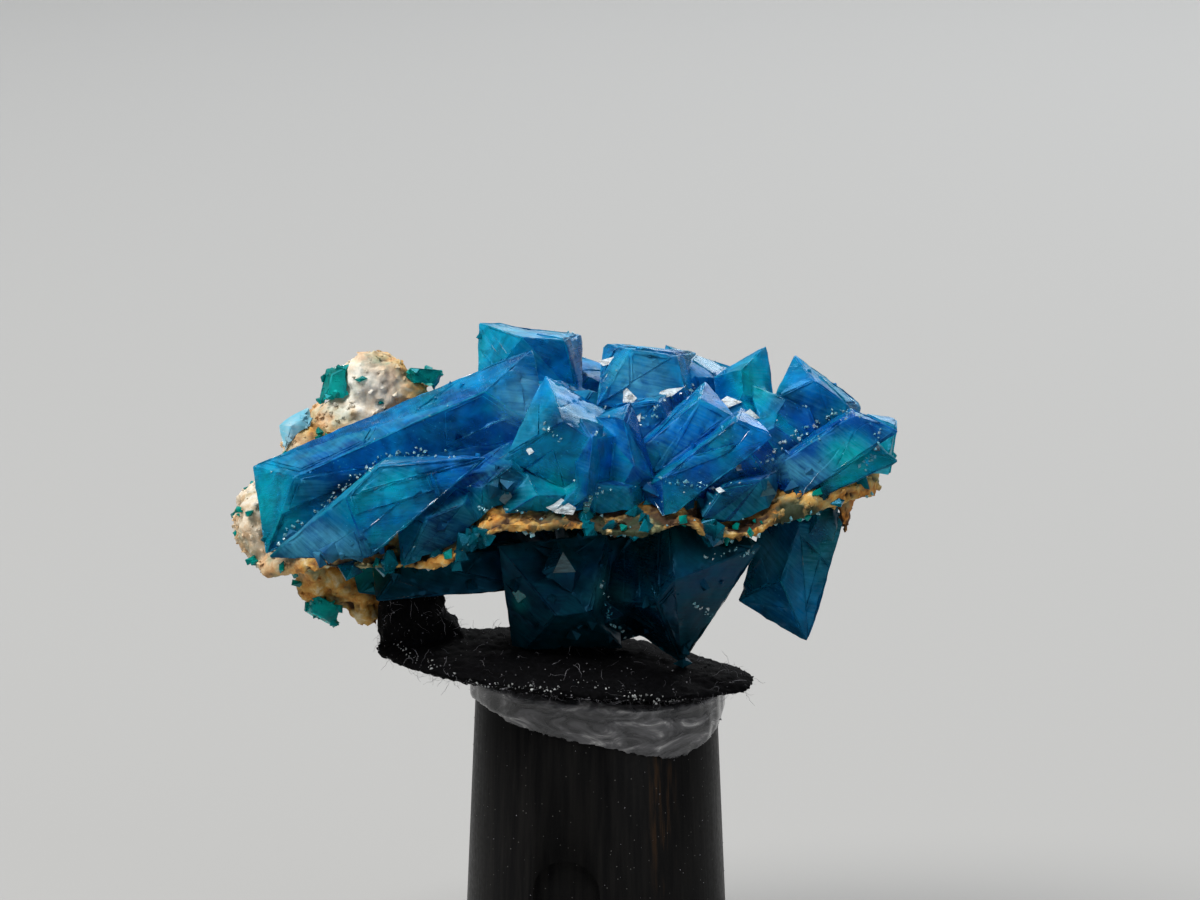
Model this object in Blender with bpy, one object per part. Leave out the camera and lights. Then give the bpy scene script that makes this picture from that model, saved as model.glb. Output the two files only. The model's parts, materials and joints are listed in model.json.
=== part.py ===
# Liroconite: blue crystals grown on both sides of an iron-stained plate of rock,
# held by black putty on a black peg.
# Blender 4.5. Metres, +Z up. The origin is the centre of the peg's foot,
# and the side that shows best faces -Y.
# Sizes in this file are millimetres, and MM turns them into metres.

import math
import random

import bmesh
import bpy
from mathutils import Vector, noise

MM = 0.001
GAP = 0.05  # clearance between pieces that touch
HIGH_ABOVE = 25.0  # a level above the whole specimen
FLOOR = 0.0

# Peg, cut off plainly at its foot
PEG_HEIGHT = 8.0
PEG_FOOT_RADIUS = 3.45
PEG_TOP_RADIUS = 3.1
PEG_EDGE = 0.15  # rounding of the top and foot edges
PEG_SIDES = 64
RECESS_TOP = 4.2  # arched recess low on the front of the peg
RECESS_HALF_WIDTH = 0.85
RECESS_OFFSET = -0.75
RECESS_DEPTH = 0.70  # how far it goes in from the peg's foot radius
ARCH_STEPS = 10
OVERSHOOT = 1.0  # how far a cutter reaches out of the piece that it cuts

# Putty pad: a lens-shaped disc that hangs lower at the right, with lumps that grip the rock at the left
PAD_MIDDLE = (-0.8, -0.55)
PAD_HALF_LENGTH = 4.85
PAD_HALF_DEPTH = 3.5
PAD_MIDDLE_HEIGHT = 8.78
PAD_SLOPE = -0.093
PAD_HALF_THICKNESS = 0.42
PAD_UNEVENNESS = 0.08
PAD_GRID = (7, 40)  # rings and sides
PAD_CUTTER_GRID = (2, 24)
PUTTY_LUMPS = (  # centre, radii
    ((-4.75, 0.3, 9.95), (0.95, 1.6, 1.25)),
    ((-4.10, 0.2, 9.35), (0.70, 1.2, 0.70)),
)
PUTTY_UNEVENNESS = 0.15

# Glue between the pad and the peg, with an apron that runs down over the peg's front right edge
GLUE_SIDES = 48
GLUE_WALL = 0.13
GLUE_SHORT = 0.15
GLUE_LONG = 1.15
GLUE_RIPPLES = 5
GLUE_RIPPLE_HEIGHT = 0.06
GLUE_RUN_ANGLE = math.radians(-50)  # direction in which the apron is longest, from +X

# Rock plate, seen from above, and the height of its front edge from left to right
PLATE_MIDDLE = (-0.75, 0.45)
PLATE_HALF_LENGTH = 8.0
PLATE_HALF_DEPTH = 3.75
PLATE_HALF_THICKNESS = 0.25
SEAM = (
    (-8.2, 11.4), (-5.4, 11.7), (-3.7, 11.85), (-2.7, 12.8), (2.6, 12.75),
    (3.2, 12.25), (4.4, 12.8), (5.7, 13.3), (7.2, 13.2),
)
PLATE_GRID = (8, 44)  # rings and sides
BED_GRID = (10, 36)
BED_REACH = 1.5 * PLATE_HALF_LENGTH  # radius of the cutter that follows the plate
BED_UNEVENNESS = 0.15
BED_WAVE = 1.6  # width of the plate's waves
BACK_RISE = 0.28  # how steeply the plate climbs from its front edge towards the back
ROCK_UNEVENNESS = 0.10
ROCK_WAVE = 0.8
LUMP_UNEVENNESS = 0.22

# Lumps of the same rock that stand out of the plate: centre, radii
ROCK_LUMPS = (
    ((-8.55, 0.9, 12.25), (0.80, 1.55, 1.15)),  # rounded left rim
    ((-7.45, 2.0, 13.45), (0.75, 0.95, 1.10)),  # ridge that climbs to the knob
    ((-6.50, 2.8, 14.30), (1.10, 0.80, 1.00)),
    ((-5.75, 3.0, 15.35), (0.85, 0.75, 1.00)),  # knob
    ((-4.95, 3.0, 15.15), (0.60, 0.60, 0.50)),
    ((-7.50, 0.5, 11.60), (0.60, 0.90, 0.80)),  # tongue under the left end
    ((-7.25, 0.9, 10.90), (0.50, 0.75, 0.85)),
    ((-6.65, 0.9, 10.55), (0.60, 0.60, 0.70)),
    ((-6.00, 0.9, 10.10), (0.50, 0.60, 0.60)),
    ((6.38, 0.3, 12.85), (0.30, 0.90, 0.95)),  # orange rim at the right end
)

# Crystals. Each is a roof-shaped bipyramid: a four-cornered girdle and a ridge on either side of it.
# Name: centre, half of the long side, half of the short side, half thickness,
# and the ridge's length as a share of the long side
UPPER = {
    "left_blade": ((-5.0, -0.5, 14.3), (3.6, 0.3, 1.5), (0.2, -0.8, -1.0), 0.90, 0.62),
    "front_wedge": ((-5.5, -2.5, 13.2), (1.5, 0.6, 1.2), (1.3, -0.6, 0.1), 1.05, 0.30),
    "wedge_side": ((-3.9, -2.2, 12.9), (1.1, 0.3, 0.4), (0.1, -0.4, -0.9), 0.90, 0.40),
    "dark_tooth": ((-0.6, -1.9, 14.7), (1.2, -0.2, -0.7), (-0.5, -0.5, -1.0), 1.10, 0.30),
    "teal_strip": ((-0.2, -2.7, 14.3), (-0.1, -0.2, -1.1), (0.3, 0.0, -0.1), 0.45, 0.70),
    "blue_splinter": ((0.7, -2.0, 14.6), (0.3, -0.3, -1.0), (0.5, 0.2, 0.2), 0.60, 0.55),
    "back_block": ((-1.7, 2.2, 16.1), (1.35, 0.3, -0.2), (0.0, -0.8, -0.8), 1.20, 0.40),
    "mirror_block": ((1.3, 1.0, 15.9), (1.2, 0.5, -0.2), (-0.1, -1.3, -0.6), 0.80, 0.50),
    "mirror_foot": ((1.1, -0.2, 15.0), (1.0, 0.3, 0.1), (0.1, -0.7, -0.6), 0.75, 0.45),
    "back_step": ((2.5, 2.2, 15.5), (0.9, 0.3, -0.4), (-0.2, -0.5, -0.7), 0.80, 0.30),
    "bright_blade": ((2.1, -0.9, 14.7), (1.1, 0.4, 0.9), (0.4, -0.6, -0.4), 0.65, 0.60),
    "long_lens": ((2.7, -1.9, 14.2), (1.4, 0.5, 1.0), (0.4, -0.5, -0.3), 0.60, 0.65),
    "pointed_tooth": ((3.8, 1.1, 15.6), (0.1, -0.4, -0.7), (-0.7, -0.2, -0.4), 0.70, 0.35),
    "right_slope": ((5.7, 0.8, 15.3), (0.9, 0.1, -0.7), (-0.3, -0.6, -0.5), 0.75, 0.45),
    "valley_block": ((4.3, -0.3, 14.4), (0.8, 0.2, 0.5), (0.3, -0.5, -0.6), 0.60, 0.45),
    "valley_facet": ((4.9, 0.3, 14.9), (0.8, 0.1, -0.3), (0.2, -0.6, -0.6), 0.70, 0.40),
    "under_lens": ((3.4, -1.2, 13.8), (1.2, 0.3, 0.4), (0.1, -0.6, -0.6), 0.80, 0.40),
    "fan_blade": ((5.8, -0.9, 14.3), (1.3, 0.4, 0.8), (0.6, -0.6, -0.2), 0.60, 0.65),
    "fan_blade_low": ((6.3, -0.9, 14.0), (1.0, 0.4, 0.4), (0.4, -0.5, -0.3), 0.50, 0.60),
    "right_end": ((7.2, 0.3, 14.3), (-0.1, -0.4, -0.7), (0.4, 0.3, -0.1), 0.60, 0.50),
    "dark_mass": ((-2.5, -1.9, 13.5), (1.0, 0.3, 0.5), (0.6, -0.5, -0.7), 0.95, 0.40),
    "dark_mass_low": ((-1.4, -2.3, 13.3), (0.8, 0.2, -0.2), (-0.4, -0.4, -0.6), 0.80, 0.40),
    "seam_block": ((0.2, -2.3, 13.4), (1.15, 0.2, -0.1), (-0.3, -0.5, -0.5), 0.70, 0.50),
    "seam_block_right": ((3.6, -1.9, 13.3), (1.0, 0.3, 0.2), (-0.2, -0.5, -0.5), 0.70, 0.50),
    "middle_left": ((-3.0, 1.0, 14.5), (1.7, 0.2, 0.5), (0.1, -0.9, 0.6), 0.90, 0.50),
    "middle": ((0.1, 0.3, 14.8), (1.2, 0.3, -0.3), (-0.2, 0.9, 0.5), 1.00, 0.40),
    "middle_right": ((3.3, 0.8, 14.5), (1.4, -0.2, 0.3), (0.2, 0.9, 0.4), 0.90, 0.50),
    "middle_rear": ((-1.5, 1.3, 14.9), (1.4, 0.2, 0.1), (0.1, 1.0, 0.3), 0.95, 0.40),
    "rear_left": ((-3.2, 2.6, 14.9), (1.2, -0.3, 0.5), (0.2, 0.7, 0.7), 0.70, 0.50),
    "rear_block": ((-1.9, 3.6, 14.9), (1.3, -0.2, 0.3), (0.2, 0.7, 0.8), 0.80, 0.40),
    "rear_blade": ((0.6, 3.6, 14.8), (1.5, 0.1, -0.5), (0.1, 0.6, 0.8), 0.70, 0.60),
    "rear_tooth": ((2.9, 3.4, 14.9), (0.3, 0.3, 1.0), (0.9, -0.1, -0.3), 0.70, 0.30),
    "rear_right": ((4.7, 2.6, 14.6), (1.3, -0.4, 0.3), (0.3, 0.7, 0.6), 0.70, 0.50),
    "far_right": ((6.2, 1.7, 14.2), (1.0, 0.3, -0.3), (-0.2, 0.8, 0.4), 0.60, 0.40),
}
LOWER = {
    "hanging_mass": ((2.0, -1.4, 11.3), (-1.0, 0.3, -1.6), (-1.2, 0.2, 0.8), 1.60, 0.20),
    "dark_core": ((-0.9, -1.1, 10.6), (1.4, 0.3, 0.1), (0.2, 0.4, -1.6), 1.40, 0.30),
    "core_side": ((0.4, -0.4, 10.6), (1.2, 0.2, 0.3), (-0.2, 0.4, -1.5), 1.20, 0.30),
    "small_facet": ((-0.8, -2.1, 11.6), (0.4, 0.1, -0.3), (-0.2, -0.2, -0.4), 0.35, 0.30),
    "left_root_dark": ((-3.7, -0.6, 11.2), (2.0, 0.3, 0.1), (0.1, -0.7, -0.5), 0.55, 0.60),
    "left_root": ((-5.2, 0.1, 11.1), (1.1, 0.3, -0.2), (0.2, -0.4, -0.7), 0.55, 0.40),
    "core_bridge": ((0.3, 0.5, 11.3), (1.3, 0.2, 0.2), (0.1, 0.3, -1.5), 1.40, 0.40),
    "rear_hanging": ((1.9, 1.7, 12.1), (-0.9, 0.2, -1.8), (1.3, 0.3, -0.4), 1.30, 0.20),
    "rear_core": ((-0.8, 1.4, 11.6), (1.3, 0.3, 0.2), (0.2, 0.3, -1.7), 1.20, 0.30),
    "rear_root": ((-2.8, 1.6, 12.4), (2.0, 0.2, -0.1), (0.1, 0.9, -0.6), 0.95, 0.50),
    "rear_spur": ((0.5, 2.3, 12.5), (1.5, 0.2, -0.2), (0.1, 0.5, -1.2), 1.10, 0.40),
}
PENDANT = {
    "pendant": ((5.05, 1.0, 11.2), (0.5, 0.4, 1.6), (0.9, -0.3, -0.5), 1.00, 0.45),
    "pendant_root": ((5.3, 1.5, 13.2), (0.9, 0.3, 0.2), (0.1, 0.6, 0.9), 0.80, 0.40),
    "pendant_side": ((5.95, 0.8, 12.5), (0.25, 0.2, 0.85), (0.42, -0.1, 0.1), 0.70, 0.40),
    "pendant_spur": ((4.6, 1.9, 12.9), (0.6, 0.1, -0.3), (0.2, 0.4, 1.0), 0.50, 0.40),
}
# Crystals that stand alone on the rock, each a solid of its own
SINGLE = {
    "knob_crystal": ((-6.75, 2.75, 15.45), (0.1, 0.2, 0.5), (0.4, -0.2, 0.1), 0.35, 0.40),
    "knob_side_crystal": ((-4.5, 2.8, 15.65), (0.45, 0.1, -0.05), (0.1, -0.2, 0.25), 0.25, 0.50),
    "ridge_crystal": ((-7.75, 1.9, 14.45), (0.4, 0.2, 0.2), (0.1, -0.3, -0.3), 0.35, 0.40),
    "tongue_crystal": ((-7.05, 0.55, 9.95), (0.4, -0.1, -0.2), (0.1, -0.2, 0.3), 0.28, 0.40),
}

RIDGE_SPREAD = 0.15  # how much the ridges' lengths differ
RIDGE_SHIFT = 0.12  # and how far they lie off the middle, as shares

# Colour, roughness and metallic value of each material
BLACK_PEG = ((0.012, 0.012, 0.013), 0.42, 0.0)
BLACK_PUTTY = ((0.010, 0.010, 0.012), 0.95, 0.0)
CLEAR_GLUE = ((0.30, 0.31, 0.32), 0.18, 0.0)
STAINED_ROCK = ((0.52, 0.34, 0.16), 0.90, 0.0)
BLUE_CRYSTAL = ((0.005, 0.16, 0.45), 0.12, 0.0)


def material(name, look):
    colour, roughness, metallic = look
    made = bpy.data.materials.new(name)
    made.use_nodes = True
    shader = made.node_tree.nodes["Principled BSDF"]
    shader.inputs["Base Color"].default_value = (*colour, 1)
    shader.inputs["Roughness"].default_value = roughness
    shader.inputs["Metallic"].default_value = metallic
    return made


def to_object(work, name, look=None):
    """Turns a bmesh in millimetres into an object in metres with outward faces."""
    bmesh.ops.recalc_face_normals(work, faces=work.faces)
    bmesh.ops.scale(work, vec=(MM, MM, MM), verts=work.verts)
    mesh = bpy.data.meshes.new(name)
    work.to_mesh(mesh)
    work.free()
    made = bpy.data.objects.new(name, mesh)
    bpy.context.scene.collection.objects.link(made)
    if look:
        mesh.materials.append(look)
    return made


def combine(target, cutter, operation):
    """Gives the target the result of a boolean with the cutter, and removes the cutter."""
    step = target.modifiers.new(operation.lower(), "BOOLEAN")
    step.operation = operation
    step.solver = "EXACT"
    step.object = cutter
    evaluated = target.evaluated_get(bpy.context.evaluated_depsgraph_get())
    result = bpy.data.meshes.new_from_object(evaluated)
    target.modifiers.remove(step)
    old = target.data
    target.data = result
    bpy.data.meshes.remove(old)
    bpy.data.objects.remove(cutter)


def grown_copy(source, distance):
    """A copy whose surface stands a little further out, to cut neighbours with."""
    work = bmesh.new()
    work.from_mesh(source.data)
    work.normal_update()
    shifts = [vertex.normal * distance * MM for vertex in work.verts]
    for vertex, shift in zip(work.verts, shifts):
        vertex.co += shift
    bmesh.ops.scale(work, vec=(1 / MM,) * 3, verts=work.verts)
    return to_object(work, source.name + "_grown")


def straight_between(points, x):
    """Height at x on a line through the given points."""
    if x <= points[0][0]:
        return points[0][1]
    for (x0, z0), (x1, z1) in zip(points, points[1:]):
        if x <= x1:
            return z0 + (z1 - z0) * (x - x0) / (x1 - x0)
    return points[-1][1]


def wobble(point, scale, strength):
    """Smooth seeded unevenness of a rock or putty surface."""
    return strength * noise.fractal(Vector(point) / scale, 0.8, 2.0, 4)


def front_edge(x):
    """How far forward the plate reaches at x."""
    share = min(1.0, abs(x - PLATE_MIDDLE[0]) / PLATE_HALF_LENGTH)
    return PLATE_MIDDLE[1] - PLATE_HALF_DEPTH * math.sqrt(1 - share * share)


def bed_height(x, y):
    """Middle of the rock plate's thickness."""
    rise = BACK_RISE * max(0.0, y - front_edge(x))
    return straight_between(SEAM, x) + rise + wobble((x, y, 0), BED_WAVE, BED_UNEVENNESS)


def pad_height(x):
    return PAD_MIDDLE_HEIGHT + PAD_SLOPE * (x - PAD_MIDDLE[0])


def round_slab(middle, outline, top, bottom, grid):
    """A closed slab on a polar grid: outline(angle) gives its radius, top and bottom its heights."""
    rings, sides = grid
    work = bmesh.new()
    layers = []
    for height in (top, bottom):
        centre = work.verts.new((*middle, height(middle[0], middle[1], 0.0)))
        loops = []
        for ring in range(1, rings + 1):
            share = math.sin(ring / rings * math.pi / 2)
            loop = []
            for side in range(sides):
                angle = math.tau * side / sides
                reach = outline(angle) * share
                x = middle[0] + reach * math.cos(angle)
                y = middle[1] + reach * math.sin(angle)
                loop.append(work.verts.new((x, y, height(x, y, share))))
            loops.append(loop)
        layers.append((centre, loops))
    for centre, loops in layers:
        for side in range(sides):
            after = (side + 1) % sides
            work.faces.new((centre, loops[0][side], loops[0][after]))
            for inner, outer in zip(loops, loops[1:]):
                work.faces.new((inner[side], outer[side], outer[after], inner[after]))
    upper, lower = layers[0][1][-1], layers[1][1][-1]
    for side in range(sides):
        after = (side + 1) % sides
        work.faces.new((upper[side], lower[side], lower[after], upper[after]))
    bmesh.ops.triangulate(work, faces=work.faces)
    return work


def lump(centre, radii, uneven):
    """An uneven rounded lump."""
    work = bmesh.new()
    bmesh.ops.create_icosphere(work, subdivisions=2, radius=1.0)
    for vertex in work.verts:
        place = Vector(centre) + Vector(c * r for c, r in zip(vertex.co, radii))
        stretch = 1 + wobble(place, 0.7, uneven)
        vertex.co = Vector(centre) + Vector(c * r * stretch for c, r in zip(vertex.co, radii))
    return work


def plate_outline(angle):
    radius = 1 / math.hypot(math.cos(angle) / PLATE_HALF_LENGTH, math.sin(angle) / PLATE_HALF_DEPTH)
    return radius * (1 + wobble((2 * math.cos(angle), 2 * math.sin(angle), 5), 0.6, 0.05))


def make_rock():
    def half_thickness(share):
        return PLATE_HALF_THICKNESS * (1.1 - 0.6 * share**6)

    def top(x, y, share):
        return bed_height(x, y) + half_thickness(share) + wobble((x, y, 3), ROCK_WAVE, ROCK_UNEVENNESS)

    def bottom(x, y, share):
        return bed_height(x, y) - half_thickness(share) + wobble((x, y, 7), ROCK_WAVE, ROCK_UNEVENNESS)

    look = material("stained_rock", STAINED_ROCK)
    rock = to_object(round_slab(PLATE_MIDDLE, plate_outline, top, bottom, PLATE_GRID), "rock_plate", look)
    for centre, radii in ROCK_LUMPS:
        combine(rock, to_object(lump(centre, radii, LUMP_UNEVENNESS), "rock_lump"), "UNION")
    return rock


def bed_cutter(far):
    """Everything between the middle of the rock plate and a far level, wider than the plate."""
    def near_side(x, y, share):
        return bed_height(x, y)

    def far_side(x, y, share):
        return far

    def wide(angle):
        return BED_REACH

    return to_object(round_slab(PLATE_MIDDLE, wide, near_side, far_side, BED_GRID), "bed_cutter")


def crystal(name, spec):
    """One crystal as the hull of its girdle's four corners and the ends of its two ridges."""
    centre, long_half, short_half, thick_half, ridge = spec
    centre, long_half, short_half = Vector(centre), Vector(long_half), Vector(short_half)
    flat = long_half.cross(short_half).normalized()
    dice = random.Random(name)
    corners = []
    for i, j in ((1, 1), (1, -1), (-1, -1), (-1, 1)):
        corners.append(centre + long_half * i + short_half * j)
    for side in (1, -1):
        for i in (1, -1):
            reach = ridge * (1 + dice.uniform(-RIDGE_SPREAD, RIDGE_SPREAD))
            shift = short_half * dice.uniform(-RIDGE_SHIFT, RIDGE_SHIFT)
            corners.append(centre + long_half * reach * i + shift + flat * thick_half * side)
    work = bmesh.new()
    for corner in corners:
        work.verts.new(corner)
    hull = bmesh.ops.convex_hull(work, input=work.verts)
    leftover = set(hull["geom_interior"]) | set(hull["geom_unused"])
    bmesh.ops.delete(work, geom=[g for g in leftover if isinstance(g, bmesh.types.BMVert)], context="VERTS")
    return work


def make_cluster(name, table, look, cutters):
    """Crystals grown together, as one solid cut clear of what they stand on."""
    specs = list(table.items())
    cluster = to_object(crystal(*specs[0]), name, look)
    for spec in specs[1:]:
        combine(cluster, to_object(crystal(*spec), "crystal"), "UNION")
    for cutter in cutters:
        combine(cluster, cutter, "DIFFERENCE")
    return cluster


def make_pad():
    def outline(angle):
        radius = 1 / math.hypot(math.cos(angle) / PAD_HALF_LENGTH, math.sin(angle) / PAD_HALF_DEPTH)
        return radius * (1 + wobble((2 * math.cos(angle), 2 * math.sin(angle), 9), 0.8, 0.03))

    def top(x, y, share):
        return pad_height(x) + PAD_HALF_THICKNESS * (1.05 - share**3) + wobble((x, y, 11), 0.9, PAD_UNEVENNESS)

    def bottom(x, y, share):
        return pad_height(x) - PAD_HALF_THICKNESS * (0.85 - 0.7 * share**5)

    look = material("black_putty", BLACK_PUTTY)
    pad = to_object(round_slab(PAD_MIDDLE, outline, top, bottom, PAD_GRID), "putty_pad", look)
    for centre, radii in PUTTY_LUMPS:
        combine(pad, to_object(lump(centre, radii, PUTTY_UNEVENNESS), "putty_lump"), "UNION")
    return pad


def pad_cutter():
    """Everything under the top of the pad, for the crystals that are pressed into it."""
    def top(x, y, share):
        return pad_height(x) + PAD_HALF_THICKNESS

    def low(x, y, share):
        return FLOOR

    def wide(angle):
        return PAD_HALF_LENGTH

    return to_object(round_slab(PAD_MIDDLE, wide, top, low, PAD_CUTTER_GRID), "pad_cutter")


def make_peg():
    work = bmesh.new()
    radii = {"radius1": PEG_FOOT_RADIUS, "radius2": PEG_TOP_RADIUS}
    bmesh.ops.create_cone(work, cap_ends=True, segments=PEG_SIDES, depth=PEG_HEIGHT, **radii)
    bmesh.ops.translate(work, vec=(0, 0, PEG_HEIGHT / 2), verts=work.verts)
    work.normal_update()
    rims = [e for e in work.edges if len(e.link_faces) == 2 and e.calc_face_angle() > 1.0]
    bmesh.ops.bevel(work, geom=rims, offset=PEG_EDGE, segments=2, profile=0.5, affect="EDGES")
    peg = to_object(work, "peg", material("black_peg", BLACK_PEG))
    combine(peg, arch_cutter(), "DIFFERENCE")
    peg.data.shade_smooth()
    peg.data.set_sharp_from_angle(angle=math.radians(35))
    return peg


def arch_cutter():
    """The arched recess on the peg's front, from below the foot to a rounded top."""
    work = bmesh.new()
    below = FLOOR - OVERSHOOT
    outline = [(RECESS_OFFSET - RECESS_HALF_WIDTH, below), (RECESS_OFFSET + RECESS_HALF_WIDTH, below)]
    spring = RECESS_TOP - RECESS_HALF_WIDTH
    for step in range(ARCH_STEPS + 1):
        angle = math.pi * step / ARCH_STEPS
        x = RECESS_OFFSET + RECESS_HALF_WIDTH * math.cos(angle)
        outline.append((x, spring + RECESS_HALF_WIDTH * math.sin(angle)))
    front = [work.verts.new((x, -PEG_FOOT_RADIUS - OVERSHOOT, z)) for x, z in outline]
    face = work.faces.new(front)
    pushed = bmesh.ops.extrude_face_region(work, geom=[face])
    moved = [v for v in pushed["geom"] if isinstance(v, bmesh.types.BMVert)]
    bmesh.ops.translate(work, vec=(0, OVERSHOOT + RECESS_DEPTH, 0), verts=moved)
    return to_object(work, "arch_cutter")


def make_glue():
    """A cap of glue on the peg's end, with an apron down its outside."""
    inside = PEG_TOP_RADIUS + GAP
    level = PEG_HEIGHT + GAP

    def fill_top(x):
        return pad_height(x) - PAD_HALF_THICKNESS * 0.85 - GAP

    rows = []
    work = bmesh.new()
    centre_top = work.verts.new((0, 0, fill_top(0)))
    centre_low = work.verts.new((0, 0, level))
    for side in range(GLUE_SIDES):
        angle = math.tau * side / GLUE_SIDES
        across = Vector((math.cos(angle), math.sin(angle)))
        lean = 0.5 + 0.5 * math.cos(angle - GLUE_RUN_ANGLE)
        drop = GLUE_SHORT + (GLUE_LONG - GLUE_SHORT) * lean**3
        drop += GLUE_RIPPLE_HEIGHT * math.sin(GLUE_RIPPLES * angle)
        widening = (PEG_FOOT_RADIUS - PEG_TOP_RADIUS) * drop / PEG_HEIGHT
        wall = GLUE_WALL * (0.6 + 0.6 * lean)
        top = fill_top(across.x * inside)
        profile = (
            (inside, level),
            (inside + widening, PEG_HEIGHT - drop),
            (inside + widening + 0.45 * wall, PEG_HEIGHT - drop - 0.04),
            (inside + widening + wall, PEG_HEIGHT - 0.6 * drop),
            (inside + wall, max(top - 0.12, level + 0.05)),
            (inside - 0.1, top),
        )
        rows.append([work.verts.new((across.x * r, across.y * r, z)) for r, z in profile])
    for row, after in zip(rows, rows[1:] + rows[:1]):
        work.faces.new((centre_low, after[0], row[0]))
        for i in range(len(row) - 1):
            work.faces.new((row[i], after[i], after[i + 1], row[i + 1]))
        work.faces.new((centre_top, row[-1], after[-1]))
    bmesh.ops.triangulate(work, faces=work.faces)
    return to_object(work, "glue_collar", material("clear_glue", CLEAR_GLUE))


def main():
    for old in list(bpy.data.objects):
        bpy.data.objects.remove(old)
    make_peg()
    make_glue()
    pad = make_pad()
    rock = make_rock()
    combine(pad, grown_copy(rock, GAP), "DIFFERENCE")
    blue = material("blue_crystal", BLUE_CRYSTAL)
    rock_cut = grown_copy(rock, GAP)
    make_cluster("upper_crystals", UPPER, blue, [bed_cutter(FLOOR), rock_cut])
    under = [bed_cutter(HIGH_ABOVE), grown_copy(rock, GAP), pad_cutter(), grown_copy(pad, GAP)]
    make_cluster("lower_crystals", LOWER, blue, under)
    make_cluster("pendant_crystal", PENDANT, blue, [bed_cutter(HIGH_ABOVE), grown_copy(rock, GAP)])
    for name, spec in SINGLE.items():
        single = to_object(crystal(name, spec), name, blue)
        combine(single, grown_copy(rock, GAP), "DIFFERENCE")


main()
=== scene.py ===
import json
import math
import random

import bmesh
import bpy
from mathutils import Matrix, Vector, noise
from mathutils.bvhtree import BVHTree

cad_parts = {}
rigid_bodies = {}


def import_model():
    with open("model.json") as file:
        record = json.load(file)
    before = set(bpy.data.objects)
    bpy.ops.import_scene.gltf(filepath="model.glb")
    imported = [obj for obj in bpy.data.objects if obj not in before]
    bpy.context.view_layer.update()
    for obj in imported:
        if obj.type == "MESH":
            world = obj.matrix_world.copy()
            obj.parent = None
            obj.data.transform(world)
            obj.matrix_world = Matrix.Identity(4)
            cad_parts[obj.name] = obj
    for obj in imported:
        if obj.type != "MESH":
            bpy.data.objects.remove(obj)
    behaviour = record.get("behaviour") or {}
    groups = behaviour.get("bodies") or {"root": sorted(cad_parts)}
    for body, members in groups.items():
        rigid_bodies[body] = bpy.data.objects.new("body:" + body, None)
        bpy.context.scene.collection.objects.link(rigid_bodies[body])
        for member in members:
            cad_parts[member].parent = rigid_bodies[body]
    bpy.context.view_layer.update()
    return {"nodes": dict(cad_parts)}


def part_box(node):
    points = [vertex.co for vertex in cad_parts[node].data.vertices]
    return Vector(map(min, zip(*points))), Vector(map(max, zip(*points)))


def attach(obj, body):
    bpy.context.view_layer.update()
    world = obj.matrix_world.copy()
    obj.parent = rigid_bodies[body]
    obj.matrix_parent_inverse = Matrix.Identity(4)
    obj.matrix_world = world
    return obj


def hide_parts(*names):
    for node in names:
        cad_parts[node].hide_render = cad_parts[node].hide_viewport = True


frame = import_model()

mm = 0.001
sceneRoot = bpy.context.scene.collection


# camera, floor and light

view = {
    "elevation": 10.0,  # degrees above the floor, as in the photograph
    "distance": 150.0,  # mm
    "frameWidth": 30.672,  # mm across the frame at the specimen
    "target": (0.10, 0.0, 14.22),  # mm, the middle of the frame
    "width": 1200,  # points of the frame
    "height": 900,
    "sensor": 36.0,
}
light = {
    "lamps": {  # place in metres, width, power in watts, colour
        "keyLight": ((-0.18, -0.10, 0.35), 0.30, 2.2, (1.0, 0.98, 0.95)),
        "backLight": ((0.10, 0.28, 0.24), 0.32, 1.1, (0.96, 0.98, 1.0)),
        "fillLight": ((0.25, -0.30, 0.12), 0.30, 0.30, (1.0, 1.0, 1.0)),
    },
    "aim": (0.0, 0.0, 0.013),
    "world": 0.16,
    "worldColor": (0.9, 0.93, 1.0, 1.0),
    "floorHalf": 2.5,
    "floorColor": (0.33, 0.33, 0.325),
}


def makeCamera():
    data = bpy.data.cameras.new("photoCamera")
    camera = bpy.data.objects.new("photoCamera", data)
    sceneRoot.objects.link(camera)
    data.sensor_width = view["sensor"]
    data.lens = view["sensor"] * view["distance"] / view["frameWidth"]
    data.clip_start = 0.01
    data.clip_end = 10.0
    tilt = math.radians(view["elevation"])
    back = Vector((0.0, -math.cos(tilt), math.sin(tilt)))
    camera.location = (Vector(view["target"]) + back * view["distance"]) * mm
    camera.rotation_euler = (math.radians(90.0) - tilt, 0.0, 0.0)
    bpy.context.scene.camera = camera
    bpy.context.scene.view_settings.view_transform = "Standard"  # keeps the deep blues


def photoRay(x, y):
    # the line of sight through a point of the frame, in millimetres
    tilt = math.radians(view["elevation"])
    up = Vector((0.0, math.sin(tilt), math.cos(tilt)))
    ahead = Vector((0.0, math.cos(tilt), -math.sin(tilt)))
    start = Vector(view["target"]) - ahead * view["distance"]
    step = view["frameWidth"] / view["width"]
    aside, above = (x - view["width"] / 2) * step, (view["height"] / 2 - y) * step
    toward = ahead * view["distance"] + Vector((1, 0, 0)) * aside + up * above
    return start, toward.normalized()


def makeLamp(name, place, size, energy, color):
    data = bpy.data.lights.new(name, "AREA")
    data.shape = "DISK"
    data.size = size
    data.energy = energy
    data.color = color
    lamp = bpy.data.objects.new(name, data)
    lamp.location = place
    lamp.rotation_euler = (Vector(light["aim"]) - Vector(place)).to_track_quat("-Z", "Y").to_euler()
    sceneRoot.objects.link(lamp)


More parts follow.
